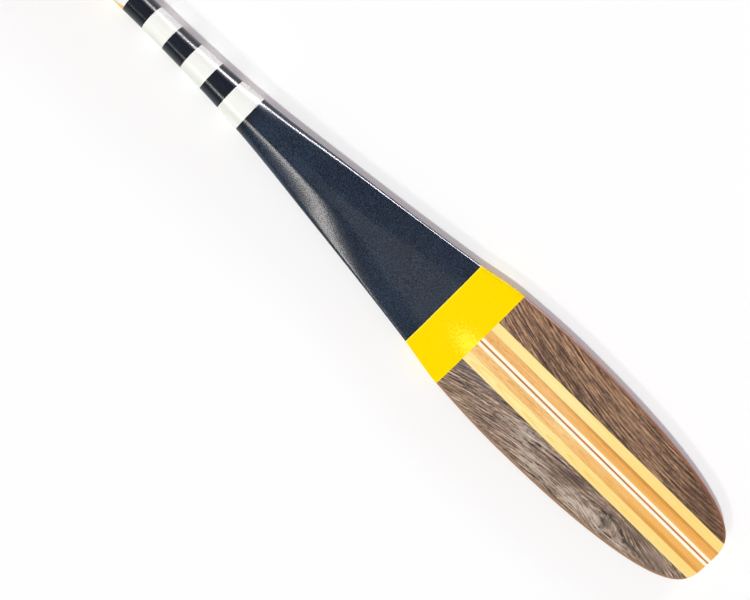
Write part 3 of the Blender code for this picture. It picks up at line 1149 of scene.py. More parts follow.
class Bench:
    """Where one material, or the world, is made. Every node of it comes from here."""

    def __init__(self, owner: Union[bpy.types.Material, bpy.types.World]) -> None:
        """Start with nothing but the output.

        Args:
            owner: The material or world, which is new.
        """
        self.owner = owner
        owner.use_nodes = True
        self.tree = owner.node_tree
        for old in list(self.tree.nodes):
            if "Surface" in old.inputs and old.type.startswith("OUTPUT"):
                self.output = old
            else:
                self.tree.nodes.remove(old)
        place = self.node("ShaderNodeTexCoord", {}, {}, "Object")
        self.x, self.y, self.z = (
            self.node("ShaderNodeSeparateXYZ", {}, {0: place}, axis) for axis in range(3)
        )

    def close(self, surface: "Wire") -> None:
        """Feed the output with a finished surface."""
        self.tree.links.new(surface.socket, self.output.inputs["Surface"])

    def node(
        self,
        kind: str,
        settings: Mapping[str, object],
        values: Mapping[Union[int, str], object],
        output: Union[int, str] = 0,
    ) -> Wire:
        """Make a node.

        Args:
            kind: The node's type.
            settings: Its own settings, which are set first. "stops" are a ramp's stops.
            values: What each input holds, or the wire that feeds it.
            output: Which output to hand back.

        Returns:
            The output.
        """
        made = self.tree.nodes.new(kind)
        for name, setting in settings.items():
            if name == "stops":
                self.set_stops(made.color_ramp, setting)
            else:
                setattr(made, name, setting)
        for key, value in values.items():
            if isinstance(value, Wire):
                self.tree.links.new(value.socket, made.inputs[key])
            else:
                made.inputs[key].default_value = value
        return Wire(self, made.outputs[output])

    @staticmethod
    def set_stops(ramp: bpy.types.ColorRamp, stops: Sequence[tuple[float, Tint]]) -> None:
        """Give a ramp its stops.

        Args:
            ramp: The ramp.
            stops: Pairs of a place from 0 to 1 and the colour there, in order of place.
        """
        while len(ramp.elements) > 1:
            ramp.elements.remove(ramp.elements[-1])
        ramp.elements[0].position = stops[0][0]
        ramp.elements[0].color = linear(stops[0][1])
        for position, tint in stops[1:]:
            ramp.elements.new(position).color = linear(tint)

    def sees(self, kind: str) -> Wire:
        """1 for a ray of a kind, such as Camera or Glossy, and 0 for any other."""
        return self.node("ShaderNodeLightPath", {}, {}, f"Is {kind} Ray")

    def mirrored(self) -> Wire:
        """1 for a ray that a glossy or a clear surface sends on, and 0 for any other."""
        return self.sees("Glossy") + self.sees("Transmission")

    def attribute(self, name: str) -> Wire:
        """A number that the mesh carries at each point."""
        settings = {"attribute_type": "GEOMETRY", "attribute_name": name}
        return self.node("ShaderNodeAttribute", settings, {}, "Fac")

    def vector(self, x: Number, y: Number, z: Number) -> Wire:
        """A vector from its parts."""
        return self.node("ShaderNodeCombineXYZ", {}, {0: x, 1: y, 2: z})

    def noise(
        self, place: Wire, detail: float, roughness: float = 0.5, distortion: float = 0.0
    ) -> Wire:
        """Soft noise about 0.5, one blotch to each unit of place.

        Args:
            place: Where, already scaled.
            detail: How many finer layers are added.
            roughness: How strong each finer layer is.
            distortion: How much the noise twists its own place.

        Returns:
            The noise, from 0 to 1.
        """
        values = {"Vector": place, "Scale": 1.0, "Detail": detail, "Roughness": roughness}
        return self.node("ShaderNodeTexNoise", {}, {**values, "Distortion": distortion})

    def ramp(self, share: Wire, stops: Sequence[tuple[float, Tint]]) -> Wire:
        """A colour that runs through stops."""
        return self.node("ShaderNodeValToRGB", {"stops": stops}, {"Fac": share}, "Color")

    def mix(self, share: Number, first: Union[Wire, Tint], second: Union[Wire, Tint]) -> Wire:
        """Blend two colours.

        Args:
            share: How much of the second shows, from 0 to 1.
            first: The colour that shows at 0.
            second: The colour that shows at 1.

        Returns:
            The blend.
        """
        colours = [side if isinstance(side, Wire) else linear(side) for side in (first, second)]
        # A Mix node has a set of sockets for each type of data: these are the ones for colours.
        inputs = {0: share, 6: colours[0], 7: colours[1]}
        return self.node("ShaderNodeMix", {"data_type": "RGBA", "blend_type": "MIX"}, inputs, 2)

    def finish(
        self,
        colour: Wire,
        roughness: float,
        relief: Wire,
        depth: float,
        constants: Mapping[str, float],
    ) -> bpy.types.Material:
        """Close the material with its shader.

        Args:
            colour: The surface's colour.
            roughness: Its roughness.
            relief: Its height, as a share of the depth.
            depth: How deep the relief is, in metres.
            constants: The shader's other inputs.

        Returns:
            The material.
        """
        bump = {"Strength": 1.0, "Distance": depth, "Height": relief}
        values = {"Base Color": colour, "Roughness": roughness, **constants}
        values["Normal"] = self.node("ShaderNodeBump", {}, bump)
        self.close(self.node("ShaderNodeBsdfPrincipled", {}, values))
        return self.owner


@dataclass(frozen=True)
class Patch:
    """A soft oval of another tint in one board: a painted sheen, glare or shade, a dark streak or a
    knot.

    Attributes:
        middle: Its place, as x and y, in metres.
        size: Half its length and half its width.
        tint: Its colour.
        amount: How much of that colour shows at its middle.
        turn: How far its length leans from X towards Y, in degrees.
        ragged: How uneven its edge is.
        full: How much of its size shows the whole amount.
    """

    middle: tuple[float, float]
    size: tuple[float, float]
    tint: Tint
    amount: float
    turn: float = 0.0
    ragged: float = 0.8
    full: float = 0.1

    def mask(self, bench: Bench, uneven: Wire) -> Wire:
        """How much of the patch shows.

        Args:
            bench: The material's bench.
            uneven: Noise that makes its edge ragged.

        Returns:
            The amount at its middle, falling to 0 at its edge.
        """
        turn = math.radians(self.turn)
        x, y = bench.x - self.middle[0], bench.y - self.middle[1]
        along = (x * math.cos(turn) + y * math.sin(turn)) / self.size[0]
        across = (y * math.cos(turn) - x * math.sin(turn)) / self.size[1]
        reach = (along * along + across * across).root() + uneven.swing(self.ragged)
        return reach.step(1.0, self.full) * self.amount


@dataclass(frozen=True)
class Grain:
    """The blotches of one layer of a wood's figure.

    Attributes:
        length: Their length along the grain.
        width: Their width across it.
        detail: How many finer layers are added to them.
        twist: How much they twist.
    """

    length: float
    width: float
    detail: float = 2.0
    twist: float = 0.0


BROAD = Grain(0.15, 0.02)
FIBRE = Grain(0.020, 0.0009)
FLECK = Grain(0.007, 0.0013, twist=0.6)
PORE = Grain(0.006, 0.0009, detail=1.0)
SPECKLE = Grain(0.009, 0.0014, detail=3.0, twist=0.8)


@dataclass(frozen=True)
class WoodFinish:
    """Satin varnish over the wood of one board.

    Attributes:
        name: The material's name.
        stops: The colours from the darkest wood to the palest.
        slant: How far the grain runs sideways for each metre, at the paddle's middle.
        bend: How much that changes for each metre towards the tip.
        streak: Length and width of the streaks.
        streaks: How much the streaks show.
        mottle: How much the short flecks between them show.
        fibres: How much the fine fibres show.
        pores: How much the dark pores show.
        drift: How much the colour drifts along the board.
        period: Distance between growth rings, in metres.
        pith: Where the middle of the tree was, as y and z, in metres.
        lean: How far the pith climbs for each metre along the board.
        rings: How much the rings show.
        knot: Where the grain parts round a knot, as x, y, half its length and half its width.
        patches: Other tints in it, laid in order, painted sheen and painted glare among them.
        painted_edge_tint: A reddish tint painted along the outline for the light and shade of the
            rounded edge, or None.
        painted_edge_width: How far in that painted tint reaches.
        seed: Which piece of wood it is.
        roughness: How matt the varnish is.
        streak_twist: How much the streaks twist.
        grain_roughness: How strong each finer layer of the figure is.
        ring_wander: How many rings' widths the rings wander.
        late_wood: Where in a ring its dark wood starts, is full, and ends again.
        ring_mean: How dark a ring is on average, so that rings leave the wood's tone alone.
        pore_start: From which noise a pore shows, and from which it is full.
        knot_pull: How far a knot pushes the grain aside, for half its width.
        painted_edge_full: How much of that width shows the whole painted tint.
        painted_edge_amount: How much of that tint shows, and how much more the fibres add.
        painted_edge_amount: How much of that colour shows, and how much more the fibres add.
        relief: Depth of the fibres.
        refraction: The varnish's index of refraction.
    """

    name: str
    stops: tuple[tuple[float, Tint], ...]
    slant: float = 0.0
    bend: float = 0.0
    streak: tuple[float, float] = (0.06, 0.0025)
    streaks: float = 0.5
    mottle: float = 0.0
    fibres: float = 0.3
    pores: float = 0.0
    drift: float = 0.4
    period: float = 0.0025
    pith: tuple[float, float] = (0.0, -0.2)
    lean: float = 0.0
    rings: float = 0.0
    knot: tuple[float, float, float, float] | None = None
    patches: tuple[Patch, ...] = ()
    painted_edge_tint: Tint | None = None
    painted_edge_width: float = 0.0042
    seed: float = 0.0
    roughness: float = 0.34
    streak_twist: float = 0.5
    grain_roughness: float = 0.6
    ring_wander: float = 4.0
    late_wood: tuple[float, float, float] = (0.3, 0.92, 0.94)
    ring_mean: float = 0.4
    pore_start: tuple[float, float] = (0.56, 0.68)
    knot_pull: float = 0.85
    painted_edge_full: float = 0.35
    painted_edge_amount: tuple[float, float] = (0.65, 0.5)
    relief: float = 0.00003
    refraction: float = 1.45

    def ring_lines(self, bench: Bench, across: Wire, wander: Wire) -> Wire:
        """Draw the dark late wood of each growth ring, sharp on its outer side.

        Args:
            bench: The material's bench.
            across: The place across the grain.
            wander: Noise that lets the rings wander.

        Returns:
            1 in the late wood, and 0 in the pale wood.
        """
        start, full, end = self.late_wood
        side = across - self.pith[0]
        up = bench.z - self.pith[1] - bench.x * self.lean
        saw = ((side * side + up * up).root() / self.period + wander * self.ring_wander).fract()
        return saw.step(start, full) * saw.step(1.0, end)

    def material(self) -> bpy.types.Material:
        """Make the material.

        Returns:
            The material, with all that shows in this board.
        """
        bench = Bench(bpy.data.materials.new(self.name))
        x, z = bench.x, bench.z
        across = bench.y - x * self.slant - x * x * (self.bend / 2)
        if self.knot is not None:
            middle_x, middle_y, length, width = self.knot
            along, side = (x - middle_x) / length, (bench.y - middle_y) / width
            near = (along * along + side * side).step(1.0, 0.0)
            across = across - side * near * (width * self.knot_pull)

        def layer(grain: Grain) -> Wire:
            """Draw one layer of the figure, which follows the grain.

            Args:
                grain: The size of its blotches.

            Returns:
                Noise about 0.5.
            """
            along, aside = x / grain.length + self.seed, across / grain.width + self.seed
            place = bench.vector(along, aside, z / grain.width)
            return bench.noise(place, grain.detail, self.grain_roughness, grain.twist)

        broad, fine = layer(BROAD), layer(FIBRE)
        share = 0.5 + fine.swing(self.fibres) + broad.swing(self.drift)
        share = share + layer(Grain(*self.streak, twist=self.streak_twist)).swing(self.streaks)
        if self.mottle:
            share = share + layer(FLECK).swing(self.mottle)
        if self.rings:
            late = self.ring_lines(bench, across, broad)
            share = share + (self.ring_mean - late) * self.rings
        if self.pores:
            share = share - layer(PORE).step(*self.pore_start) * self.pores
        colour = bench.ramp(share, self.stops)
        speckle = layer(SPECKLE)
        for patch in self.patches:
            colour = bench.mix(patch.mask(bench, speckle), colour, patch.tint)
        # Painted edge light and shade: a reddish tint along the outline stands in for how the
        # rounded edge catches and loses the light.
        if self.painted_edge_tint is not None:
            least, added = self.painted_edge_amount
            painted_edge = bench.attribute("inset").step(self.painted_edge_width, self.painted_edge_width * self.painted_edge_full)
            colour = bench.mix(painted_edge * (least + fine * added), colour, self.painted_edge_tint)
        return bench.finish(colour, self.roughness, fine, self.relief, {"IOR": self.refraction})


@dataclass(frozen=True)
class Wedge:
    """A painted wedge on each side of the shaft, from its base to its point.

    Attributes:
        base: Where its base is along X.
        point: Where its point is along X.
        half_height: Half the height of its base.
        tint: Its colour.
        side_blur: From how far outside its slanted sides to how far inside they are soft.
        base_blur: How far each way its base is soft.
    """

    base: float
    point: float
    half_height: float
    tint: Tint
    side_blur: tuple[float, float] = (-0.0002, 0.0003)
    base_blur: float = 0.0004

    def mask(self, bench: Bench, axis_height: float) -> Wire:
        """Draw the wedge.

        Args:
            bench: The material's bench.
            axis_height: Height of the paddle's middle above the floor.

        Returns:
            1 inside the wedge, and 0 outside it.
        """
        height = (bench.x - self.point) * (self.half_height / (self.base - self.point))
        inside = (height - (bench.z - axis_height).abs()).step(*self.side_blur)
        return inside * bench.x.step(self.base + self.base_blur, self.base - self.base_blur)


@dataclass(frozen=True)
class PaintFinish:
    """Gloss paint, with the fine orange peel that spraying leaves.

    Attributes:
        name: The material's name.
        tint: Its colour.
        speck_tint: The second colour of its speckle: in the navy pale, painted as glints of light
            on the orange peel; in the white and yellow a shade darker.
        roughness: How matt it is.
        peel: Depth of the orange peel, in metres.
        specular: How much it shines, where 0.5 is usual.
        edges: Where the masking tape left a line, along X.
        edge_tint: The colour of that line.
        patches: Other tints in it, laid in order: painted glare in the yellow, painted shade in the
            white.
        peel_scale: How many bumps of peel there are to a metre.
        cloud_scale: How many soft clouds there are to a metre.
        coarse_from: Where the throat's coarser spray starts, along X.
        coarse_run: Over which length it sets in.
        fine_share: How strong the stipple is elsewhere, where it is 1 in the coarser spray.
        speck_share: How much of the speck tint shows everywhere, and how much more in the coarser
            spray.
        clouds: How much the clouds change how much of the speck tint shows.
        dots: How much the stipple changes it.
        edge_blur: From how far off the tape's line shows, and from how far off it is full.
        refraction: The paint's index of refraction.
    """

    name: str
    tint: Tint
    speck_tint: Tint
    roughness: float = 0.22
    peel: float = 0.00003
    specular: float = 0.5
    edges: tuple[float, ...] = ()
    edge_tint: Tint = (0, 0, 0)
    patches: tuple[Patch, ...] = ()
    peel_scale: float = 800.0
    cloud_scale: float = 22.0
    coarse_from: float = 0.08
    coarse_run: float = 0.02
    fine_share: float = 0.15
    speck_share: tuple[float, float] = (0.08, 0.35)
    clouds: float = 0.35
    dots: float = 4.0
    edge_blur: tuple[float, float] = (0.0013, 0.0004)
    refraction: float = 1.5

    def material(self, wedge: Wedge | None, axis_height: float) -> bpy.types.Material:
        """Make the material.

        Args:
            wedge: The wedge painted over it, or None.
            axis_height: Height of the paddle's middle above the floor.

        Returns:
            The material.
        """
        bench = Bench(bpy.data.materials.new(self.name))
        axes = (bench.x, bench.y, bench.z)
        peel, cloud = (
            bench.noise(bench.vector(*(axis * scale for axis in axes)), detail=2.0)
            for scale in (self.peel_scale, self.cloud_scale)
        )
        coarse = bench.x.step(self.coarse_from, self.coarse_from + self.coarse_run)
        stipple = (peel - 0.5) * (coarse * (1 - self.fine_share) + self.fine_share)
        plain, throat_lift = self.speck_share
        # Painted glints: this share of the speck tint gives the navy pale specks, and more paleness
        # over the throat, standing in for light on the orange peel.
        thickness = cloud.swing(self.clouds) + stipple * self.dots + coarse * throat_lift + plain
        colour = bench.mix(thickness, self.tint, self.speck_tint)
        for patch in self.patches:
            colour = bench.mix(patch.mask(bench, peel), colour, patch.tint)
        for edge in self.edges:
            line = (bench.x - edge).abs().step(*self.edge_blur)
            colour = bench.mix(line, colour, self.edge_tint)
        if wedge is not None:
            colour = bench.mix(wedge.mask(bench, axis_height), colour, wedge.tint)
        constants = {"IOR": self.refraction, "Specular IOR Level": self.specular}
        return bench.finish(colour, self.roughness, stipple, self.peel, constants)


def paints(plan: PaintPlan) -> dict[Finish, bpy.types.Material]:
    """Make the paints.

    Args:
        plan: Where each of them starts.

    Returns:
        A material for each painted finish.
    """
    blank = plan.blank
    ring = plan.top_ring_start()
    amber = Wedge(
        base=blank.x(ring),
        point=blank.x(ring + plan.throat_white),
        half_height=0.0115,
        tint=(248, 192, 16),
    )
    yellow_end = blank.x(plan.bare_blade + plan.yellow_band)
    navy = PaintFinish(
        "navy_paint",
        tint=(4, 14, 26),
        speck_tint=(38, 58, 80),
        roughness=0.23,
        peel=0.00005,
        specular=0.4,
        edges=(yellow_end,),
        edge_tint=(4, 8, 16),
    )
    white = PaintFinish(
        "white_paint",
        tint=(246, 245, 240),
        speck_tint=(242, 241, 236),
        # Painted shade: a greenish grey strip along the -Y side of each white band.
        patches=(Patch((0.0, -0.0125), (4.0, 0.0055), (222, 228, 218), 0.8, ragged=0.1),),
    )
    yellow = PaintFinish(
        "yellow_paint",
        tint=(255, 219, 0),
        speck_tint=(253, 214, 0),
        roughness=0.26,
        peel=0.00006,
        specular=0.03,
        edges=(yellow_end,),
        edge_tint=(255, 236, 90),
        # Painted glare: a paler yellow patch stands in for a lamp's reflection on the band.
        patches=(Patch((0.3985, -0.0097), (0.030, 0.016), (255, 247, 62), 0.80, ragged=1.2),),
    )
    height = blank.axis_height
    return {
        Finish.NAVY: navy.material(None, height),
        Finish.WHITE: white.material(amber, height),
        Finish.YELLOW: yellow.material(None, height),
    }


def shades(*tints: Tint) -> tuple[tuple[float, Tint], ...]:
    """Spread colours evenly over the middle of a ramp, where the noise lies.

    Args:
        tints: The colours, from the darkest to the palest.

    Returns:
        The ramp's stops.
    """
    first, last = 0.12, 0.88
    gap = (last - first) / (len(tints) - 1)
    return tuple((first + gap * index, tint) for index, tint in enumerate(tints))


SEED_STEP = 7.3
# Painted sheen: a pale tint laid in patches over the grey walnut for the varnish's sheen.
PAINTED_SHEEN = (206, 190, 176)
MAPLE = WoodFinish(
    "pinstripe_left_wood",
    shades((252, 240, 212), (255, 251, 236)),
    streaks=0.3,
    drift=0.2,
    patches=(Patch((-0.60, 0.0), (0.75, 0.10), (255, 226, 148), 0.85, ragged=0.1),),
    roughness=0.36,
)
GRIP_MAPLE = replace(
    MAPLE,
    name="grip_pinstripe_left_wood",
    stops=shades((250, 214, 120), (255, 232, 158)),
    seed=2.0,
)
CHERRY = WoodFinish(
    "blade_stave_left_wood",
    shades((218, 142, 70), (240, 184, 112), (251, 208, 146)),
    streak=(0.09, 0.0016),
    streaks=0.45,
    fibres=0.35,
    pores=0.25,
    patches=(
        Patch((0.68, 0.0), (0.28, 0.06), (238, 168, 72), 0.80, ragged=0.2),
        Patch((0.66, 0.0056), (0.20, 0.0026), (248, 192, 104), 0.60, ragged=0.3),
        Patch((0.62, 0.0150), (0.26, 0.0050), (206, 132, 48), 0.80, ragged=0.3),
    ),
)
BASSWOOD = WoodFinish(
    "blade_strip_left_wood",
    shades((246, 206, 118), (254, 228, 150), (255, 239, 176)),
    streak=(0.12, 0.0018),
    streaks=0.3,
    fibres=0.25,
    patches=(Patch((0.70, 0.0), (0.24, 0.08), (253, 213, 122), 0.70, ragged=0.2),),
)
WALNUT = WoodFinish(
    "blade_wing_left_wood",
    shades((56, 42, 38), (104, 78, 62), (148, 114, 89), (198, 154, 116)),
    slant=-0.75,
    bend=1.15,
    streak=(0.038, 0.0019),
    streaks=0.84,
    mottle=0.42,
    fibres=0.50,
    pores=0.25,
    drift=0.22,
    period=0.0034,
    pith=(-0.25, -0.25),
    rings=0.26,
    patches=(
        Patch((0.705, 0.030), (0.080, 0.040), (84, 60, 44), 0.66, ragged=0.7),
        Patch((0.574, 0.047), (0.050, 0.011), (182, 142, 112), 0.38, turn=-6.0, ragged=1.6),
        Patch((0.517, 0.056), (0.030, 0.006), (176, 134, 104), 0.45, turn=-8.0, ragged=1.6),
        Patch((0.423, 0.060), (0.020, 0.006), (170, 128, 96), 0.45, turn=-12.0, ragged=1.6),
    ),
    # Painted edge light and shade along the outline.
    painted_edge_tint=(148, 88, 60),
    painted_edge_width=0.0040,
    seed=4.0,
    roughness=0.38,
)
GREY_WALNUT = WoodFinish(
    "blade_wing_right_wood",
    shades((56, 44, 40), (114, 94, 81), (160, 135, 117), (220, 193, 171)),
    slant=0.95,
    bend=-1.60,
    streak=(0.034, 0.0019),
    streaks=0.68,
    mottle=0.42,
    fibres=0.45,
    pores=0.22,
    drift=0.22,
    period=0.0028,
    pith=(0.25, -0.25),
    rings=0.24,
    knot=(0.630, -0.044, 0.045, 0.018),
    patches=(
        Patch((0.420, -0.030), (0.070, 0.007), (92, 88, 94), 0.55, turn=4.0, ragged=1.2),
        Patch((0.420, -0.055), (0.040, 0.006), (122, 92, 52), 0.45, turn=8.0, ragged=1.2),
        # The patches in the pale sheen tint, here and below, are painted sheen of the varnish; the
        # dark ones and the knot are the wood's own.
        Patch((0.502, -0.036), (0.028, 0.010), PAINTED_SHEEN, 0.58, turn=10.0, ragged=2.2),
        Patch((0.520, -0.049), (0.026, 0.009), PAINTED_SHEEN, 0.48, turn=8.0, ragged=2.2),
        Patch((0.540, -0.054), (0.024, 0.007), PAINTED_SHEEN, 0.42, turn=6.0, ragged=2.2),
        Patch((0.569, -0.035), (0.038, 0.013), (78, 60, 52), 0.80, turn=16.0, ragged=0.9),
        Patch((0.662, -0.030), (0.028, 0.009), (88, 70, 60), 0.60, turn=4.0, ragged=1.0),
        Patch((0.588, -0.051), (0.026, 0.010), PAINTED_SHEEN, 0.66, ragged=2.0),
        Patch((0.616, -0.048), (0.022, 0.010), PAINTED_SHEEN, 0.66, turn=-6.0, ragged=2.0),
        Patch((0.652, -0.048), (0.024, 0.008), PAINTED_SHEEN, 0.45, turn=-14.0, ragged=2.0),
        Patch((0.630, -0.044), (0.010, 0.0065), (92, 80, 76), 0.80, turn=-8.0, ragged=0.6),
        # Painted sheen: a paler patch near the tip.
        Patch((0.694, -0.034), (0.032, 0.020), (140, 119, 106), 0.60, turn=-20.0, ragged=1.0),
    ),
    # Painted edge light and shade along the outline.
    painted_edge_tint=(160, 122, 90),
    painted_edge_width=0.0044,
    seed=11.0,
    roughness=0.38,
)
SHAFT_WALNUT = WoodFinish(
    "shaft_stave_left_wood",
    shades((82, 42, 32), (142, 82, 56), (198, 130, 84)),
    streak=(0.06, 0.0020),
    streaks=0.8,
    fibres=0.5,
    pores=0.30,
    patches=(
        # Painted glare: the golden patch near the grip's end stands in for glare on the varnish.
        Patch((-0.725, 0.0), (0.060, 0.03), (222, 154, 74), 0.70, ragged=0.5),
        Patch((-0.500, 0.0), (0.060, 0.03), (176, 112, 76), 0.45, ragged=0.5),
    ),
    roughness=0.28,
)
CENTER = WoodFinish("center_strip_wood", shades((184, 104, 40), (222, 146, 74)), fibres=0.4)
LINE = WoodFinish("grip_line_left_wood", shades((122, 72, 32), (170, 112, 50)), fibres=0.4)
BLOCK = WoodFinish(
    "grip_block_left_wood",
    shades((228, 162, 52), (250, 194, 76), (255, 212, 110)),
    fibres=0.5,
    pores=0.15,
)
CHEEK = WoodFinish(
    "grip_cheek_left_wood",
    shades((78, 54, 42), (124, 90, 60), (172, 128, 74)),
    streak=(0.020, 0.0020),
    streaks=0.7,
    mottle=0.3,
    pores=0.3,
    roughness=0.28,
)
CHEEK_FIGURE = (
    Patch((-0.708, -0.042), (0.029, 0.013), (104, 72, 52), 0.80, ragged=0.4),
    Patch((-0.708, -0.042), (0.023, 0.010), (192, 134, 78), 0.90, ragged=0.4),
)


def other_half(left: WoodFinish, **changes: object) -> WoodFinish:
    """The finish of the board on the other side: another piece of the same wood."""
    name = left.name.replace("_left_", "_right_")
    return replace(left, **{"name": name, "seed": left.seed + SEED_STEP, **changes})


def wood_finishes() -> dict[str, WoodFinish]:
    """Pair up the finishes of the left boards with those of the right ones.

    Returns:
        The finish of every board, by its node.
    """
    pale_cherry = other_half(
        CHERRY,
        stops=shades((228, 160, 90), (247, 200, 128), (255, 218, 154)),
        rings=0.22,
        period=0.0009,
        pith=(-0.0095, -0.0017),
        lean=0.03,
        patches=(
            Patch((0.70, 0.0), (0.20, 0.06), (240, 174, 80), 0.80, ragged=0.2),
            Patch((0.69, -0.0136), (0.13, 0.0048), (214, 142, 56), 0.75, ragged=0.4),
        ),
    )
    ringed_basswood = other_half(
        BASSWOOD, rings=0.30, period=0.0011, pith=(-0.021, -0.0012), lean=0.029
    )
    alike = (MAPLE, GRIP_MAPLE, SHAFT_WALNUT, LINE, BLOCK)
    pairs = [(left, other_half(left)) for left in alike]
    pairs += [
        (CHERRY, pale_cherry),
        (BASSWOOD, ringed_basswood),
        (WALNUT, GREY_WALNUT),
        (CHEEK, other_half(CHEEK, patches=CHEEK_FIGURE)),
    ]
    finishes = [CENTER] + [finish for pair in pairs for finish in pair]
    return {finish.name.removesuffix("_wood"): finish for finish in finishes}


@dataclass(frozen=True)
class Lamp:
    """A soft studio lamp, far enough away to light the whole paddle alike.

    Attributes:
        name: The lamp's name.
        towards: The direction from the paddle to the lamp.
        strength: Its light on a surface that faces it.
        spread: How wide it looks from the paddle, in degrees.
        tint: Its colour.
        shines: Whether it shows in glossy surfaces.
        lights: Whether it lights matt surfaces.
    """

    name: str
    towards: tuple[float, float, float]
    strength: float
    spread: float
    tint: tuple[float, float, float] = (1.0, 1.0, 1.0)
    shines: bool = True
    lights: bool = True

    def hang(self) -> None:
        """Put the lamp in the scene."""
        data = bpy.data.lights.new(self.name, "SUN")
        data.energy = self.strength
        data.angle = math.radians(self.spread)
        data.color = self.tint
        item = bpy.data.objects.new(self.name, data)
        item.rotation_euler = Vector(self.towards).to_track_quat("Z", "Y").to_euler()
        item.visible_glossy = self.shines
        item.visible_diffuse = self.lights
        bpy.context.scene.collection.objects.link(item)


@dataclass(frozen=True)
class Studio:
    """The plain white table and its light.

    Attributes:
        floor_size: Length of the floor's sides.
        floor_shade: How white the floor is.
        floor_white: How much of the seen floor is plain and unlit. The rest keeps the shadows.
        fill: The colour of the light from all round, which is what is left in the shadows.
        ambient: Light from all round.
        ceiling: Light from straight above.
        ceiling_edge: How far up a ray points where the ceiling starts, and where it is full, from
            0 for level to 1 for straight up.
        horizon: How far up a reflection points where the white past the floor starts to show, and
            where it is full.
        lamps: The lamps.
    """

    floor_size: float = 60.0
    floor_shade: float = 0.97
    floor_white: float = 0.20
    fill: tuple[float, float, float, float] = (1.0, 0.90, 0.95, 1.0)
    ambient: float = 0.25
    ceiling: float = 0.50
    ceiling_edge: tuple[float, float] = (0.72, 0.99)
    horizon: tuple[float, float] = (0.35, 0.12)
    lamps: tuple[Lamp, ...] = (
        Lamp("key_lamp", (0.17, -0.106, 0.98), strength=0.03, spread=5.0),
        Lamp(
            "shade_lamp",
            (0.10, -0.26, 0.96),
            strength=1.88,
            spread=5.0,
            tint=(0.915, 1.0, 0.96),
            shines=False,
        ),
        Lamp("left_lamp", (0.0, -0.68, 0.73), strength=0.54, spread=8.0, tint=(1.0, 0.94, 0.88)),
        Lamp(
            "right_lamp",
            (0.0, 0.966, 0.26),
            strength=0.80,
            spread=10.0,
            tint=(0.93, 0.91, 1.0),
            shines=False,
        ),
        Lamp(
            "edge_lamp",
            (0.0, 0.966, 0.26),
            strength=4.8,
            spread=13.0,
            tint=(0.97, 0.93, 1.0),
            lights=False,
        ),
    )

    def build(self) -> None:
        """Lay the floor and hang the lamps."""
        mesh = bmesh.new()
        bmesh.ops.create_grid(mesh, x_segments=1, y_segments=1, size=self.floor_size / 2)
        data = bpy.data.meshes.new("floor")
        mesh.to_mesh(data)
        mesh.free()
        floor = bpy.data.objects.new("floor", data)
        bpy.context.scene.collection.objects.link(floor)
        bench = Bench(bpy.data.materials.new("paper_white"))
        lit = bench.node("ShaderNodeBsdfDiffuse", {}, {"Color": (*(self.floor_shade,) * 3, 1.0)})
        plain = bench.node("ShaderNodeEmission", {}, {"Color": self.fill, "Strength": 1.0})
        seen = (bench.sees("Camera") + bench.mirrored()) * self.floor_white
        bench.close(bench.node("ShaderNodeMixShader", {}, {0: seen, 1: lit, 2: plain}))
        data.materials.append(bench.owner)
        for lamp in self.lamps:
            lamp.hang()
        self.light_all_round()

    def light_all_round(self) -> None:
        """Give the world its soft light, and the white that is seen past the floor."""
        world = bpy.data.worlds.new("studio")
        bpy.context.scene.world = world
        bench = Bench(world)
        dim, above, white = (
            bench.node("ShaderNodeBackground", {}, {"Color": tint, "Strength": strength})
            for tint, strength in (
                (self.fill, self.ambient),
                (self.fill, self.ceiling),
                (PLAIN_WHITE, 1.0),
            )
        )
        steep = bench.z.step(*self.ceiling_edge)
        soft = bench.node("ShaderNodeMixShader", {}, {0: steep, 1: dim, 2: above})
        seen = bench.sees("Camera") + bench.mirrored() * bench.z.step(*self.horizon)
        bench.close(bench.node("ShaderNodeMixShader", {}, {0: seen, 1: soft, 2: white}))


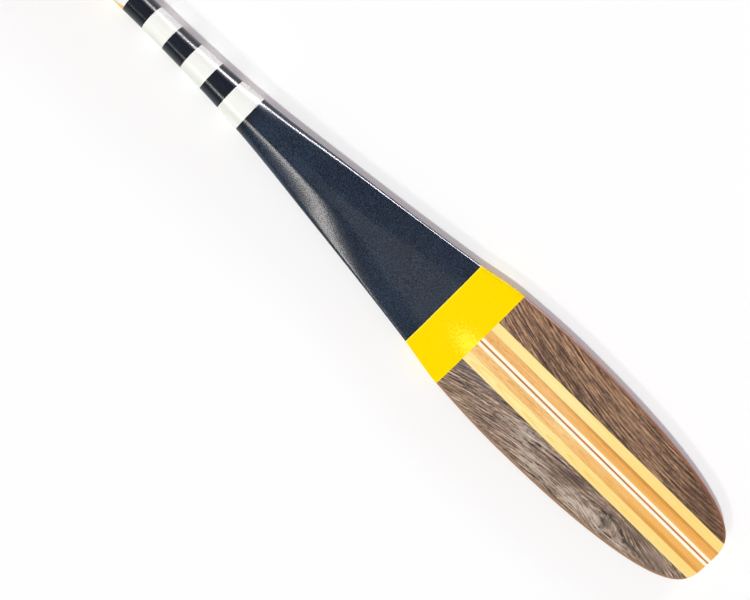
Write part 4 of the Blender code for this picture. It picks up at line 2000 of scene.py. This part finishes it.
@dataclass(frozen=True)
class TableCamera:
    """The camera above the table, as the photograph was taken.

    Attributes:
        distance: From the camera to the place that it looks at.
        focal_pixels: Focal length in pixels of the picture.
        sensor: Width of the sensor, in millimetres.
        look_from_tip: The place's distance from the blade's tip.
        look_across: The place's distance to the left of the paddle's middle.
        look_up: The place's height above the paddle's middle.
        turn: How far below the picture's right the paddle points, in degrees.
        tilt: How far the camera leans back from the tip, in degrees.
        roll: How far it leans across the paddle, in degrees.
    """

    distance: float = 1.4
    focal_pixels: float = 1400.0
    sensor: float = 36.0
    look_from_tip: float = 0.43782
    look_across: float = -0.04506
    look_up: float = 0.0045
    turn: float = 44.26
    tilt: float = 5.87
    roll: float = -7.14

    def place(self, blank: Blank) -> None:
        """Put the camera in the scene.

        Args:
            blank: The blank that it looks at.
        """
        turn, tilt, roll = (math.radians(angle) for angle in (self.turn, self.tilt, self.roll))
        leaned = Matrix.Rotation(roll, 3, "X") @ Matrix.Rotation(-tilt, 3, "Y")
        right = leaned @ Vector((math.cos(turn), math.sin(turn), 0.0))
        up = leaned @ Vector((-math.sin(turn), math.cos(turn), 0.0))
        back = leaned @ Vector((0.0, 0.0, 1.0))
        height = blank.axis_height + self.look_up
        look = Vector((blank.x(self.look_from_tip), self.look_across, height))
        data = bpy.data.cameras.new("table_camera")
        data.sensor_width = self.sensor
        data.lens = self.focal_pixels * self.sensor / IMAGE_WIDTH
        item = bpy.data.objects.new("table_camera", data)
        axes = Matrix((right, up, back)).transposed().to_4x4()
        item.matrix_world = Matrix.Translation(look + back * self.distance) @ axes
        bpy.context.scene.collection.objects.link(item)
        bpy.context.scene.camera = item


def glue_up(form: CarvedForm, boards: Sequence[Board]) -> None:
    """Carve every board, dress it and set it on the frame.

    Args:
        form: The form that they are cut from.
        boards: The boards of every sub-assembly.
    """
    carver = Carver(form)
    coats = paints(form.paint)
    woods = wood_finishes()
    for board in boards:
        item = carver.carve(board)
        item.data.materials.append(woods[board.node].material())
        for finish in (Finish.NAVY, Finish.WHITE, Finish.YELLOW):
            item.data.materials.append(coats[finish])
        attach(item, BODY)
        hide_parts(board.node)
        log.info("%s: %d faces", item.name, len(item.data.polygons))


def main() -> None:
    """Build the paddle and its studio."""
    logging.basicConfig(level=logging.INFO, format="%(message)s")
    bpy.context.scene.view_settings.view_transform = "Standard"
    blank = Blank()
    blade, grip, core = Blade(blank), Grip(blank), Core(blank)
    TableCamera().place(blank)
    Studio().build()
    form = CarvedForm(blank, blade, grip, PaintPlan(blank))
    glue_up(form, [*core.boards(), *blade.boards(form.middle), *grip.boards(form.middle)])
    form.mesh.free()


if __name__ == "__main__":
    main()
